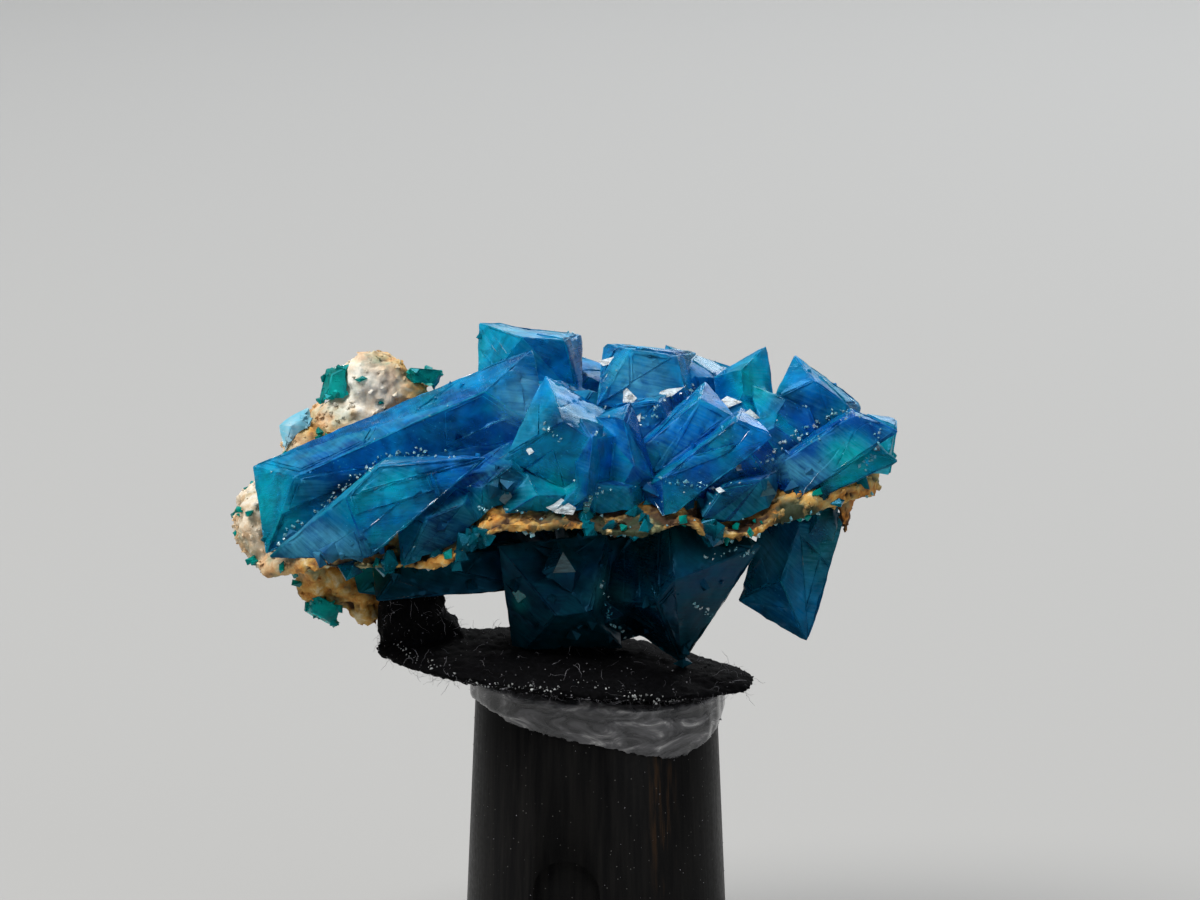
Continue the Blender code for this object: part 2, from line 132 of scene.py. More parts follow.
def makeStage():
    for name, values in light["lamps"].items():
        makeLamp(name, *values)
    world = bpy.data.worlds.new("studio")
    bpy.context.scene.world = world
    world.use_nodes = True
    background = world.node_tree.nodes["Background"]
    background.inputs["Color"].default_value = light["worldColor"]
    background.inputs["Strength"].default_value = light["world"]
    work = bmesh.new()
    bmesh.ops.create_grid(work, x_segments=2, y_segments=2, size=light["floorHalf"])
    floor = meshObject("studioFloor", work)
    tree, shader = newMaterial("paleFloor")
    grain = addNode(tree, "ShaderNodeTexNoise", {"Vector": objectPoint(tree), "Scale": 60.0, "Detail": 4.0})
    paler = [c * 1.04 for c in light["floorColor"]]
    tone = ramp(tree, grain.outputs["Fac"], [(0.3, light["floorColor"]), (0.7, paler)])
    finishLook(tree, shader, {"Roughness": 0.85}, tone)
    floor.data.materials.append(bpy.data.materials["paleFloor"])


# helpers for meshes and materials

def meshObject(name, work):
    mesh = bpy.data.meshes.new(name)
    work.to_mesh(mesh)
    work.free()
    made = bpy.data.objects.new(name, mesh)
    sceneRoot.objects.link(made)
    return made


def newMaterial(name):
    made = bpy.data.materials.new(name)
    made.use_nodes = True
    return made.node_tree, made.node_tree.nodes["Principled BSDF"]


def setInputs(tree, node, inputs):
    # links a socket, and sets anything else as the input's own value
    for key, value in inputs.items():
        if isinstance(value, bpy.types.NodeSocket):
            tree.links.new(value, node.inputs[key])
        else:
            node.inputs[key].default_value = value


def addNode(tree, kind, inputs=None, **settings):
    node = tree.nodes.new(kind)
    for key, value in settings.items():
        setattr(node, key, value)
    setInputs(tree, node, inputs or {})
    return node


def objectPoint(tree, stretch=(1.0, 1.0, 1.0), turn=(0.0, 0.0, 0.0)):
    # the object's own coordinates, in millimetres
    point = addNode(tree, "ShaderNodeTexCoord").outputs["Object"]
    return addNode(tree, "ShaderNodeMapping", {
        "Vector": point, "Scale": [s / mm for s in stretch], "Rotation": turn}).outputs["Vector"]


def noiseMap(tree, vector, scale, detail=4.0, roughness=0.55, distortion=0.0):
    return addNode(tree, "ShaderNodeTexNoise", {
        "Vector": vector, "Scale": scale, "Detail": detail, "Roughness": roughness,
        "Distortion": distortion}).outputs["Fac"]


def cellMap(tree, vector, scale):
    # distance to the nearest of many scattered points
    return addNode(tree, "ShaderNodeTexVoronoi", {"Vector": vector, "Scale": scale}).outputs["Distance"]


def ramp(tree, value, stops):
    node = addNode(tree, "ShaderNodeValToRGB", {"Fac": value})
    points = node.color_ramp.elements
    while len(points) < len(stops):
        points.new(0.5)
    for point, (position, color) in zip(points, stops):
        point.position = position
        point.color = (*color, 1.0) if isinstance(color, (tuple, list)) else (color, color, color, 1.0)
    return node.outputs["Color"]


def mixColors(tree, factor, first, second, blend="MIX"):
    first, second = ((*c, 1.0) if isinstance(c, tuple) else c for c in (first, second))
    return addNode(tree, "ShaderNodeMix", data_type="RGBA", blend_type=blend,
                   inputs={0: factor, 6: first, 7: second}).outputs[2]


def mathNode(tree, operation, first, second=0.5, third=None, clamp=False):
    inputs = {0: first, 1: second} if third is None else {0: first, 1: second, 2: third}
    return addNode(tree, "ShaderNodeMath", inputs, operation=operation, use_clamp=clamp).outputs[0]


def bumps(tree, height, strength, distance):
    return addNode(tree, "ShaderNodeBump", {
        "Height": height, "Strength": strength, "Distance": distance * mm}).outputs["Normal"]


def finishLook(tree, shader, values, color, rough=None, normal=None):
    setInputs(tree, shader, values)
    for key, source in (("Base Color", color), ("Roughness", rough), ("Normal", normal)):
        if source is not None:
            tree.links.new(source, shader.inputs[key])


def attributeMap(tree, name):
    return addNode(tree, "ShaderNodeAttribute", attribute_name=name).outputs["Fac"]


def nodeMesh(name):
    # a merged copy of a CAD node, in millimetres
    work = bmesh.new()
    work.from_mesh(frame["nodes"][name].data)
    bmesh.ops.scale(work, vec=(1.0 / mm,) * 3, verts=work.verts)
    bmesh.ops.remove_doubles(work, verts=work.verts, dist=0.0005)
    return work


def finishPiece(piece, look, replaced=()):
    # millimetres to metres, a material, and the body that it rides on
    piece.data.transform(Matrix.Scale(mm, 4))
    if look is not None:
        piece.data.materials.clear()
        piece.data.materials.append(look)
    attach(piece, "root")
    if replaced:
        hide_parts(*replaced)
    return piece


def convertMesh(source, name):
    # the modifiers' result as a plain mesh of its own
    graph = bpy.context.evaluated_depsgraph_get()
    mesh = bpy.data.meshes.new_from_object(source.evaluated_get(graph))
    made = bpy.data.objects.new(name, mesh)
    sceneRoot.objects.link(made)
    bpy.data.objects.remove(source)
    return made


def remeshNode(name, voxel):
    piece = meshObject(name + "Fine", nodeMesh(name))
    remesh = piece.modifiers.new("fine", "REMESH")
    remesh.mode = "VOXEL"
    remesh.voxel_size = voxel
    return convertMesh(piece, name + "Detail")


def smoothShade(piece, angle):
    piece.data.shade_smooth()
    piece.data.set_sharp_from_angle(angle=math.radians(angle))


def nearLine(point, line):
    # distance from a point to a chain of points
    best = 1e9
    for a, b in zip(line, line[1:]):
        a, b = Vector(a), Vector(b)
        along = max(0.0, min(1.0, (point - a).dot(b - a) / (b - a).length_squared))
        best = min(best, (point - a - (b - a) * along).length)
    return best


def fade(value, low, high):
    # 0 below low, 1 above high, smooth between
    t = max(0.0, min(1.0, (value - low) / (high - low)))
    return t * t * (3.0 - 2.0 * t)


def spotMask(tree, middle, radii, sharpness=0.5, wobble=0.25):
    # 1 in the middle of an ellipsoid, 0 outside, with an uneven edge
    point = objectPoint(tree)
    place = addNode(tree, "ShaderNodeMapping", {
        "Vector": point, "Location": [-m / r for m, r in zip(middle, radii)], "Scale": [1.0 / r for r in radii]})
    size = addNode(tree, "ShaderNodeVectorMath", {0: place.outputs["Vector"]}, operation="LENGTH")
    uneven = noiseMap(tree, point, 1.3, 3.0)
    shifted = mathNode(tree, "MULTIPLY_ADD", uneven, wobble * 2.0, size.outputs["Value"])
    return addNode(tree, "ShaderNodeMapRange", {
        "Value": shifted, "From Min": 1.0 + wobble, "From Max": 1.0 + wobble - sharpness, "To Min": 0.0,
        "To Max": 1.0}, interpolation_type="SMOOTHSTEP").outputs["Result"]


# scattering: one tree for crumbs, tiny crystals, lint and dust

def makeScatterTree():
    tree = bpy.data.node_groups.new("scatterShapes", "GeometryNodeTree")
    face = tree.interface
    for name, kind in (("Geometry", "Geometry"), ("perSquareMm", "Float"), ("smallest", "Float"),
                       ("largest", "Float"), ("tilt", "Float"), ("lift", "Float"), ("seed", "Int"),
                       ("shapes", "Collection"), ("look", "Material")):
        face.new_socket(name=name, in_out="INPUT", socket_type="NodeSocket" + kind)
    face.new_socket(name="Geometry", in_out="OUTPUT", socket_type="NodeSocketGeometry")
    given = addNode(tree, "NodeGroupInput").outputs
    growth = addNode(tree, "GeometryNodeInputNamedAttribute", {"Name": "growth"}, data_type="FLOAT")
    density = addNode(tree, "ShaderNodeMath", {0: growth.outputs["Attribute"], 1: given["perSquareMm"]},
                      operation="MULTIPLY")
    points = addNode(tree, "GeometryNodeDistributePointsOnFaces", {
        "Mesh": given["Geometry"], "Density": density.outputs[0], "Seed": given["seed"]})
    shift = addNode(tree, "ShaderNodeVectorMath", {0: points.outputs["Normal"], "Scale": given["lift"]},
                    operation="SCALE")
    moved = addNode(tree, "GeometryNodeSetPosition", {
        "Geometry": points.outputs["Points"], "Offset": shift.outputs[0]})
    size = addNode(tree, "FunctionNodeRandomValue", {
        2: given["smallest"], 3: given["largest"], "Seed": given["seed"]}, data_type="FLOAT")
    below = addNode(tree, "ShaderNodeMath", {0: given["tilt"], 1: -1.0}, operation="MULTIPLY")
    lean = addNode(tree, "FunctionNodeRandomValue", {2: below.outputs[0], 3: given["tilt"]}, data_type="FLOAT")
    spin = addNode(tree, "FunctionNodeRandomValue", {3: math.tau, "Seed": 7}, data_type="FLOAT")
    turn = addNode(tree, "ShaderNodeCombineXYZ", {"X": lean.outputs[1], "Z": spin.outputs[1]})
    euler = addNode(tree, "FunctionNodeEulerToRotation", {0: turn.outputs[0]})
    rotate = addNode(tree, "FunctionNodeRotateRotation", {
        "Rotation": points.outputs["Rotation"], "Rotate By": euler.outputs[0]}, rotation_space="LOCAL")
    shapes = addNode(tree, "GeometryNodeCollectionInfo", {
        "Collection": given["shapes"], "Separate Children": True, "Reset Children": True})
    place = addNode(tree, "GeometryNodeInstanceOnPoints", {
        "Points": moved.outputs[0], "Instance": shapes.outputs["Instances"], "Pick Instance": True,
        "Rotation": rotate.outputs[0], "Scale": size.outputs[1]})
    real = addNode(tree, "GeometryNodeRealizeInstances", {"Geometry": place.outputs["Instances"]})
    paint = addNode(tree, "GeometryNodeSetMaterial", {
        "Geometry": real.outputs["Geometry"], "Material": given["look"]})
    addNode(tree, "NodeGroupOutput", {"Geometry": paint.outputs["Geometry"]})
    return tree


def scatter(name, ground, shapes, look, settings):
    # ground is an object in millimetres with a growth attribute; the result keeps only the scattered shapes
    carrier = bpy.data.objects.new(name + "Ground", ground.data)
    sceneRoot.objects.link(carrier)
    modifier = carrier.modifiers.new("scatter", "NODES")
    modifier.node_group = scatterTree
    values = dict(settings, shapes=shapes, look=look)
    for item in scatterTree.interface.items_tree:
        if item.in_out == "INPUT" and item.name in values:
            modifier[item.identifier] = values[item.name]
    return convertMesh(carrier, name)


def setGrowth(piece, rule, name="growth"):
    # a value for each point, from its place and normal
    mesh = piece.data
    layer = mesh.attributes.get(name) or mesh.attributes.new(name, "FLOAT", "POINT")
    normals = mesh.vertex_normals
    values = [rule(v.co, normals[i].vector) for i, v in enumerate(mesh.vertices)]
    layer.data.foreach_set("value", values)


def hullShape(name, points):
    work = bmesh.new()
    for point in points:
        work.verts.new(point)
    bmesh.ops.convex_hull(work, input=work.verts)
    loose = [v for v in work.verts if not v.link_faces]
    bmesh.ops.delete(work, geom=loose, context="VERTS")
    bmesh.ops.recalc_face_normals(work, faces=work.faces)
    return meshObject(name, work)


def shapeGroup(name, makers):
    group = bpy.data.collections.new(name)
    for made in makers:
        group.objects.link(made)
        sceneRoot.objects.unlink(made)
    return group


def spread(perSquareMm, smallest, largest, tilt, lift, seed):
    # settings of one scatter: sizes and lift in mm, tilt in radians
    return {"perSquareMm": perSquareMm, "smallest": smallest, "largest": largest, "tilt": tilt, "lift": lift,
            "seed": seed}


small = {
    "grains": 5,  # different shapes of each kind
    "wedges": 5,
    "fibres": 6,
    "grainCorners": 9,
    "fibreSteps": 9,
    "fibreRadius": 0.009,  # as a share of its length
    "fibreBend": 0.28,
    "seed": 41,
}


def makeGrains(dice):
    # crumbs of rock: small lumps with about a dozen faces
    made = []
    for index in range(small["grains"]):
        points = []
        for _ in range(small["grainCorners"]):
            out = Vector((dice.gauss(0, 1), dice.gauss(0, 1), dice.gauss(0, 1))).normalized()
            points.append(out * dice.uniform(0.38, 0.55))
        made.append(hullShape(f"grain{index}", points))
    return shapeGroup("grainShapes", made)


def makeWedges(dice):
    # tiny crystals of the same habit as the large ones: a short ridge above and below four corners
    made = []
    for index in range(small["wedges"]):
        long, wide = dice.uniform(0.42, 0.55), dice.uniform(0.22, 0.4)
        high, ridge = dice.uniform(0.34, 0.6), dice.uniform(0.05, 0.22)
        lean = dice.uniform(-0.12, 0.12)
        points = [(long, lean, 0), (-long, -lean, 0), (0.1, wide, 0), (-0.1, -wide, 0)]
        points += [(lean, s * ridge, high) for s in (-1, 1)] + [(0, s * ridge, -high * 0.6) for s in (-1, 1)]
        made.append(hullShape(f"wedge{index}", points))
    return shapeGroup("wedgeShapes", made)


def makeLint(dice):
    # short bent fibres with three sides
    made = []
    steps = small["fibreSteps"]
    for index in range(small["fibres"]):
        work = bmesh.new()
        place = Vector((0, 0, 0))
        heading = Vector((dice.uniform(-1, 1), dice.uniform(-1, 1), 0.5)).normalized()
        rings = []
        for step in range(steps + 1):
            side = heading.orthogonal().normalized()
            other = heading.cross(side)
            thick = small["fibreRadius"] * (1.0 - 0.5 * abs(2.0 * step / steps - 1.0))
            rings.append([work.verts.new(place + (side * math.cos(a) + other * math.sin(a)) * thick)
                          for a in (0.0, math.tau / 3.0, math.tau * 2.0 / 3.0)])
            place = place + heading * (1.0 / steps)
            bend = Vector((dice.gauss(0, 1), dice.gauss(0, 1), dice.gauss(0, 1) - 0.35))
            heading = (heading + bend * small["fibreBend"]).normalized()
        for low, high in zip(rings, rings[1:]):
            for k in range(3):
                work.faces.new((low[k], low[(k + 1) % 3], high[(k + 1) % 3], high[k]))
        work.faces.new(rings[0][::-1])
        work.faces.new(rings[-1])
        bmesh.ops.recalc_face_normals(work, faces=work.faces)
        made.append(meshObject(f"lint{index}", work))
    return shapeGroup("lintShapes", made)


makeCamera()
makeStage()
dice = random.Random(small["seed"])
scatterTree = makeScatterTree()
grainShapes = makeGrains(dice)
wedgeShapes = makeWedges(dice)
lintShapes = makeLint(dice)
print("camera, floor, light and small shapes ready")


# crystals

crystal = {
    "merge": 0.02,  # mm, points closer than this become one
    "tiniest": 0.005,  # mm, shortest edge kept
    "flat": 1.0,  # degrees, faces that differ by less become one
    "edge": 0.028,  # bevel width, mm
    "edgeAngle": 8.0,  # degrees, smallest angle that is bevelled
    "edgeArea": 0.03,  # mm2, and the smallest face beside it
    "terraceDepth": 0.045,
    "terraceRim": 0.15,  # share of the way from a face's edge to its middle
    "terraceStep": 0.025,
    "fineEdge": 0.25,  # mm, longest edge after the faces are divided
    "rounds": 6,  # most rounds of dividing
    "worn": 15.0,  # degrees, smallest angle of an edge that is worn
    "hillocks": 0.030,  # mm, height of the growth steps
    "chips": 0.070,  # mm, depth of the worn spots along the edges
    "smallestTerraced": 0.35,  # mm2
    "reach": 5.2,  # height from the rock's edge over which the colour ramp of tints, painted shade and painted light runs, mm
    "tints": [(0.04, (0.0, 0.03, 0.06)), (0.16, (0.0, 0.11, 0.28)), (0.33, (0.0, 0.20, 0.85)),
              (0.55, (0.0, 0.38, 1.0)), (0.85, (0.0, 0.56, 1.0))],
    "dark": (0.0, 0.05, 0.34),
    # the colour of the painted shade in the dark spots
    "deep": (0.0, 0.015, 0.05),
    "seaGreen": (0.0, 0.42, 0.55),
    "teal": (0.0, 0.72, 0.76),
    "frost": (0.07, 0.62, 0.92),
    "haze": (0.12, 0.58, 0.84),
    "absorbColor": (0.0, 0.86, 0.985, 1.0),
    "absorbDensity": 2000.0,
    "mottled": 0.75,  # how strongly dark clouds show
    "shine": 0.09,
    "shineTint": (0.12, 0.55, 1.0, 1.0),
    "ior": 1.63,
    "transmission": 0.55,
    "smooth": 0.18,  # roughness of the most polished face, and how much more the dullest has
    "satin": 0.33,
    "creased": 16.0,  # degrees, edges sharper than this stay sharp
    "seed": 12,
}


def keepClose(work, whole, reach):
    # puts back a point that a bevel or inset threw away from the crystal's surface
    for vert in work.verts:
        place, normal, index, distance = whole.find_nearest(vert.co)
        if distance > reach:
            vert.co = place


def inOrder(work):
    # sorts the mesh by place, so that what is drawn at random doesn't depend on how it was stored
    line = Vector((1.0, 0.618, 0.271))
    work.verts.sort(key=lambda v: v.co.dot(line))
    work.edges.sort(key=lambda e: (e.verts[0].co + e.verts[1].co).dot(line))
    work.faces.sort(key=lambda f: f.calc_center_median().dot(line))


def facetMesh(name, settings, dice):
    # the CAD crystal with narrow worn edges and shallow growth terraces on its larger faces
    work = nodeMesh(name)
    bmesh.ops.remove_doubles(work, verts=work.verts, dist=settings["merge"])
    fins = [f for f in work.faces if min(len(e.link_faces) for e in f.edges) == 1]
    bmesh.ops.delete(work, geom=fins, context="FACES")
    bmesh.ops.dissolve_degenerate(work, edges=work.edges, dist=settings["tiniest"])
    bmesh.ops.dissolve_limit(work, angle_limit=math.radians(settings["flat"]), verts=work.verts, edges=work.edges)
    whole = BVHTree.FromBMesh(work)
    sharp = []
    for edge in work.edges:
        if len(edge.link_faces) != 2 or edge.calc_length() < settings["edge"] * 5.0:
            continue
        smaller = min(f.calc_area() for f in edge.link_faces)
        if edge.calc_face_angle(0.0) > math.radians(settings["edgeAngle"]) and smaller > settings["edgeArea"]:
            sharp.append(edge)
    bmesh.ops.bevel(work, geom=sharp, offset=settings["edge"], segments=1, affect="EDGES",
                    clamp_overlap=False, offset_type="OFFSET")
    bmesh.ops.dissolve_degenerate(work, edges=work.edges, dist=0.002)
    keepClose(work, whole, settings["edge"] * 1.6)
    inOrder(work)
    for face in [f for f in work.faces if f.calc_area() > settings["smallestTerraced"] * 3.0]:
        # split the largest faces by lines along one of their sides
        pieces = [face]
        for _ in range(dice.randint(1, 3)):
            target = max(pieces, key=lambda f: f.calc_area())
            if target.calc_area() < settings["smallestTerraced"] * 2.0:
                break
            longest = max(target.edges, key=lambda e: e.calc_length())
            along = (longest.verts[1].co - longest.verts[0].co).normalized()
            along *= 1.0 if along.x + along.y * 0.3 > 0.0 else -1.0
            along = Matrix.Rotation(dice.choice((0.0, 0.0, 0.5, -0.4, 1.2)), 3, target.normal) @ along
            across = target.normal.cross(along)
            reach = [v.co.dot(across) for v in target.verts]
            level = min(reach) + (max(reach) - min(reach)) * dice.uniform(0.3, 0.7)
            before = set(work.faces)
            geom = [target] + list(target.edges) + list(target.verts)
            bmesh.ops.bisect_plane(work, geom=geom, plane_co=across * level, plane_no=across)
            pieces = [f for f in pieces if f.is_valid] + [f for f in work.faces if f not in before]
    inOrder(work)
    large = [f for f in work.faces
             if f.calc_area() > settings["smallestTerraced"] and all(c.is_convex for c in f.loops)]
    for face in large:
        for _ in range(dice.choice((0, 1, 1, 2))):
            normal, middle = face.normal.copy(), face.calc_center_median()
            rise = settings["terraceDepth"] * dice.uniform(-0.6, 1.0)
            rim = dice.uniform(0.2, 1.0) * settings["terraceRim"]
            for share, lift in ((rim, 0.0), (settings["terraceStep"], rise)):
                bmesh.ops.inset_individual(work, faces=[face], thickness=0.0, depth=0.0)
                for vert in face.verts:
                    vert.co = vert.co.lerp(middle, share) + normal * lift
    bmesh.ops.triangulate(work, faces=[f for f in work.faces if len(f.verts) > 4])
    return work


frontSeam = [(-8.2, -2.2, 11.5), (-5.4, -3.0, 11.7), (-3.7, -3.0, 11.85), (-2.7, -2.9, 12.75), (2.6, -2.6, 12.75),
             (3.2, -2.4, 12.3), (4.4, -2.2, 12.8), (5.7, -1.7, 13.3), (7.2, -0.8, 13.3)]


def seamHeight(x):
    # height of the rock's front edge at x
    for (ax, _, az), (bx, _, bz) in zip(frontSeam, frontSeam[1:]):
        if x <= bx:
            return az + (bz - az) * max(0.0, x - ax) / (bx - ax)
    return frontSeam[-1][2]


def addFacetLayers(work, dice):
    # per point: height above the rock's edge
    # per face: how polished and how dark it is, and which way its grooves run
    rise = work.verts.layers.float.new("rise")
    for vert in work.verts:
        vert[rise] = abs(vert.co.z - seamHeight(vert.co.x))
    polish = work.faces.layers.float.new("polish")
    tone = work.faces.layers.float.new("tone")
    grooveU = work.loops.layers.uv.new("grooves")
    groups = {}
    for face in work.faces:
        n = face.normal
        key = (round(n.x, 1), round(n.y, 1), round(n.z, 1))
        if key not in groups:
            groups[key] = (dice.random(), dice.uniform(-0.5, 0.5), dice.random())
        face[polish] = groups[key][0]
        face[tone] = groups[key][2]
        flat = Vector((0.35, 0.2, 1.0)).cross(n)
        side = (flat if flat.length > 0.05 else Vector((1, 0, 0)).cross(n)).normalized()
        side = Matrix.Rotation(groups[key][1], 3, n) @ side if n.length > 0.5 else side
        other = n.cross(side)
        for loop in face.loops:
            loop[grooveU].uv = (loop.vert.co.dot(side), loop.vert.co.dot(other))


def dropFolds(work):
    # takes out pairs of faces that lie on each other
    seen, gone = {}, []
    for face in work.faces:
        key = frozenset(face.verts)
        if key in seen:
            gone += [face, seen[key]]
        seen[key] = face
    bmesh.ops.delete(work, geom=list(dict.fromkeys(gone)), context="FACES")


def cutEars(face):
    # splits a face into triangles: first beside points that halve a side, then by the shortest diagonals,
    # and never between two points that are joined already
    while len(face.verts) > 3:
        ring = list(face.verts)
        count = len(ring)
        sides = [(ring[(i + 1) % count].co - ring[i].co).normalized() for i in range(count)]
        straight = [sides[i - 1].dot(sides[i]) > 0.9998 for i in range(count)]
        choices = []
        for i in range(count):
            low, high = ring[i - 1], ring[(i + 1) % count]
            if not straight[i] and not any(e.other_vert(low) is high for e in low.link_edges):
                halved = straight[i - 1] + straight[(i + 1) % count]
                choices.append((-halved, (low.co - high.co).length, i))
        if not choices:
            return
        tip = min(choices)[2]
        made, _ = bmesh.utils.face_split(face, ring[tip - 1], ring[(tip + 1) % count])
        face = max((face, made), key=lambda f: len(f.verts))


def addRelief(work, settings):
    # finer triangles, then shallow growth steps on the faces and worn spots along the edges
    bmesh.ops.triangulate(work, faces=work.faces)
    dropFolds(work)
    for _ in range(settings["rounds"]):
        long = [e for e in work.edges if e.calc_length() > settings["fineEdge"]]
        if not long:
            break
        bmesh.ops.subdivide_edges(work, edges=long, cuts=1, use_grid_fill=True)
        for face in [f for f in work.faces if len(f.verts) > 3]:
            cutEars(face)
    work.normal_update()
    moves = []
    for vert in work.verts:
        if any(e.calc_face_angle(0.0) > math.radians(settings["worn"]) for e in vert.link_edges):
            wear = max(0.0, noise.noise(vert.co * 2.3) - 0.05) * 1.6 + max(0.0, noise.noise(vert.co * 9.0)) * 0.35
            moves.append(-settings["chips"] * wear)
        else:
            swell = noise.fractal(vert.co * 1.5, 0.6, 2.1, 4)
            moves.append(settings["hillocks"] * (round(swell * 4.0) / 4.0 + swell * 0.3)
                         + settings["hillocks"] * noise.noise(vert.co * 11.0) * 0.2)
    for vert, move in zip(work.verts, moves):
        vert.co += vert.normal * move
    inOrder(work)


def crystalLook(name, settings, tealSpots=(), frostSpots=(), paintedShadeSpots=()):
    tree, shader = newMaterial(name)
    point = objectPoint(tree)
    clouds = noiseMap(tree, point, 0.55, 4.0, 0.55, 0.5)
    rise, tone, polish = (attributeMap(tree, layer) for layer in ("rise", "tone", "polish"))
    # colour by height from the rock's edge: the crystal's own blue with painted shade and painted light in the ramp;
    # the upper crystals darken towards the rock and lighten upward, the lower ones darken downward
    level = mathNode(tree, "MULTIPLY_ADD", clouds, 1.6, mathNode(tree, "ADD", rise, -0.8))
    color = ramp(tree, mathNode(tree, "DIVIDE", level, settings["reach"]), settings["tints"])
    patchy = mathNode(tree, "MULTIPLY_ADD", tone, 0.28, noiseMap(tree, point, 0.8, 3.0, 0.5, 0.8))
    color = mixColors(tree, ramp(tree, patchy, [(0.56, 0.0), (0.78, 0.7)]), color, settings["dark"])
    greener = mathNode(tree, "MULTIPLY_ADD", tone, -0.25, noiseMap(tree, point, 0.62, 3.0, 0.5, 0.4))
    color = mixColors(tree, ramp(tree, greener, [(0.34, 0.0), (0.52, 0.65)]), color, settings["seaGreen"])
    for middle, radii in tealSpots:
        color = mixColors(tree, spotMask(tree, middle, radii, 1.0), color, settings["teal"])
    # painted shade: the colour is pulled to near-black blue inside these spots, where shade falls under overhangs
    # and between crystals
    for middle, radii in paintedShadeSpots:
        paintedShadeMask = mathNode(tree, "MULTIPLY", spotMask(tree, middle, radii, 1.0, 0.15), 0.82)
        color = mixColors(tree, paintedShadeMask, color, settings["deep"])
    mottle = noiseMap(tree, point, 2.1, 7.0, 0.62, 0.6)
    color = mixColors(tree, settings["mottled"], color, ramp(tree, mottle, [(0.34, 0.30), (0.60, 1.0)]), "MULTIPLY")
    speck = ramp(tree, cellMap(tree, point, 7.0), [(0.08, 0.6), (0.16, 0.0)])
    spread = ramp(tree, noiseMap(tree, point, 0.9, 2.0), [(0.45, 0.0), (0.60, 1.0)])
    color = mixColors(tree, mathNode(tree, "MULTIPLY", speck, spread), color, settings["frost"])
    grooves = addNode(tree, "ShaderNodeUVMap", uv_map="grooves").outputs["UV"]
    long = addNode(tree, "ShaderNodeMapping", {"Vector": grooves, "Scale": (0.7, 9.0, 1.0)})
    lines = noiseMap(tree, long.outputs["Vector"], 1.4, 5.0, 0.6)
    veil = noiseMap(tree, point, 1.4, 6.0, 0.62, 0.6)
    haze = mathNode(tree, "MULTIPLY_ADD", lines, 0.5, mathNode(tree, "MULTIPLY", veil, 0.5))
    patches = ramp(tree, haze, [(0.46, 0.0), (0.64, 1.0)])
    frost = mathNode(tree, "MULTIPLY", patches, mathNode(tree, "MULTIPLY_ADD", polish, 0.42, 0.04))
    color = mixColors(tree, frost, color, settings["frost"])
    for middle, radii in frostSpots:
        spot = spotMask(tree, middle, radii, 0.8)
        local = mathNode(tree, "MULTIPLY", spot, ramp(tree, haze, [(0.32, 0.0), (0.60, 0.85)]))
        color = mixColors(tree, local, color, settings["haze"])
        frost = mathNode(tree, "MAXIMUM", frost, local)
    scratches = addNode(tree, "ShaderNodeMapping", {
        "Vector": grooves, "Scale": (1.0, 26.0, 1.0), "Rotation": (0.0, 0.0, 0.35)})
    scratch = ramp(tree, noiseMap(tree, scratches.outputs["Vector"], 1.1, 3.0), [(0.68, 0.0), (0.78, 0.35)])
    color = mixColors(tree, mathNode(tree, "MULTIPLY", scratch, polish), color, settings["frost"])
    rough = mathNode(tree, "MULTIPLY_ADD", polish, settings["satin"], settings["smooth"])
    rough = mathNode(tree, "MULTIPLY_ADD", patches, 0.12, rough)
    rough = mathNode(tree, "MULTIPLY_ADD", frost, 0.25, rough, clamp=True)
    relief = mathNode(tree, "MULTIPLY_ADD", noiseMap(tree, point, 14.0, 3.0), 0.25, lines)
    finishLook(tree, shader, {
        "IOR": settings["ior"], "Specular IOR Level": settings["shine"], "Specular Tint": settings["shineTint"],
        "Transmission Weight": settings["transmission"]}, color, rough, bumps(tree, relief, 0.5, 0.02))
    absorb = addNode(tree, "ShaderNodeVolumeAbsorption", {
        "Color": settings["absorbColor"], "Density": settings["absorbDensity"]})
    tree.links.new(absorb.outputs["Volume"], tree.nodes["Material Output"].inputs["Volume"])
    return bpy.data.materials[name]


# where the crystals are teal or hazy, and where painted shade darkens them: middle, radii
upperLook = crystalLook(
    "blueCrystal", crystal,
    tealSpots=[((6.4, -1.4, 14.3), (1.0, 1.2, 0.9)), ((-8.0, 0.0, 13.0), (2.0, 3.0, 1.7)),
               ((-5.2, -2.4, 13.6), (1.6, 1.6, 1.3)), ((7.3, 0.5, 14.0), (1.3, 2.5, 1.6)),
               ((4.1, 0.5, 16.0), (1.0, 1.5, 1.3)), ((-0.9, -2.0, 13.4), (1.6, 1.4, 1.3)),
               ((-0.25, -2.2, 13.9), (0.45, 1.2, 1.2)), ((-3.0, 2.5, 16.0), (0.7, 1.5, 1.4))],
    frostSpots=[((-6.9, -2.8, 12.4), (1.7, 1.6, 0.8)), ((-2.0, -0.5, 15.6), (0.8, 2.0, 1.1)),
                ((1.1, 0.5, 16.1), (1.3, 2.0, 0.9)), ((1.1, 0.3, 14.9), (0.8, 1.5, 0.45)),
                ((5.2, -1.3, 14.0), (1.2, 1.5, 0.5))],
    # painted shade spots: under overhangs and in the gaps between crystals
    paintedShadeSpots=[((-6.7, -1.6, 13.4), (1.7, 1.3, 0.8)), ((-3.6, -1.3, 14.8), (1.6, 1.3, 0.6)),
               ((-3.9, -2.9, 13.2), (1.1, 1.0, 1.0)), ((-0.9, -2.6, 15.4), (0.9, 1.0, 0.8)),
               ((-2.4, -2.6, 13.8), (0.9, 1.0, 1.2)), ((3.6, -2.3, 13.4), (1.3, 1.0, 0.6)),
               ((-4.2, -2.9, 12.3), (1.3, 1.0, 0.7)), ((-1.9, -1.9, 12.2), (1.1, 1.2, 0.7)),
               ((5.7, -1.7, 13.4), (1.4, 1.0, 0.4)), ((4.9, 0.1, 15.5), (0.7, 1.0, 0.5))])
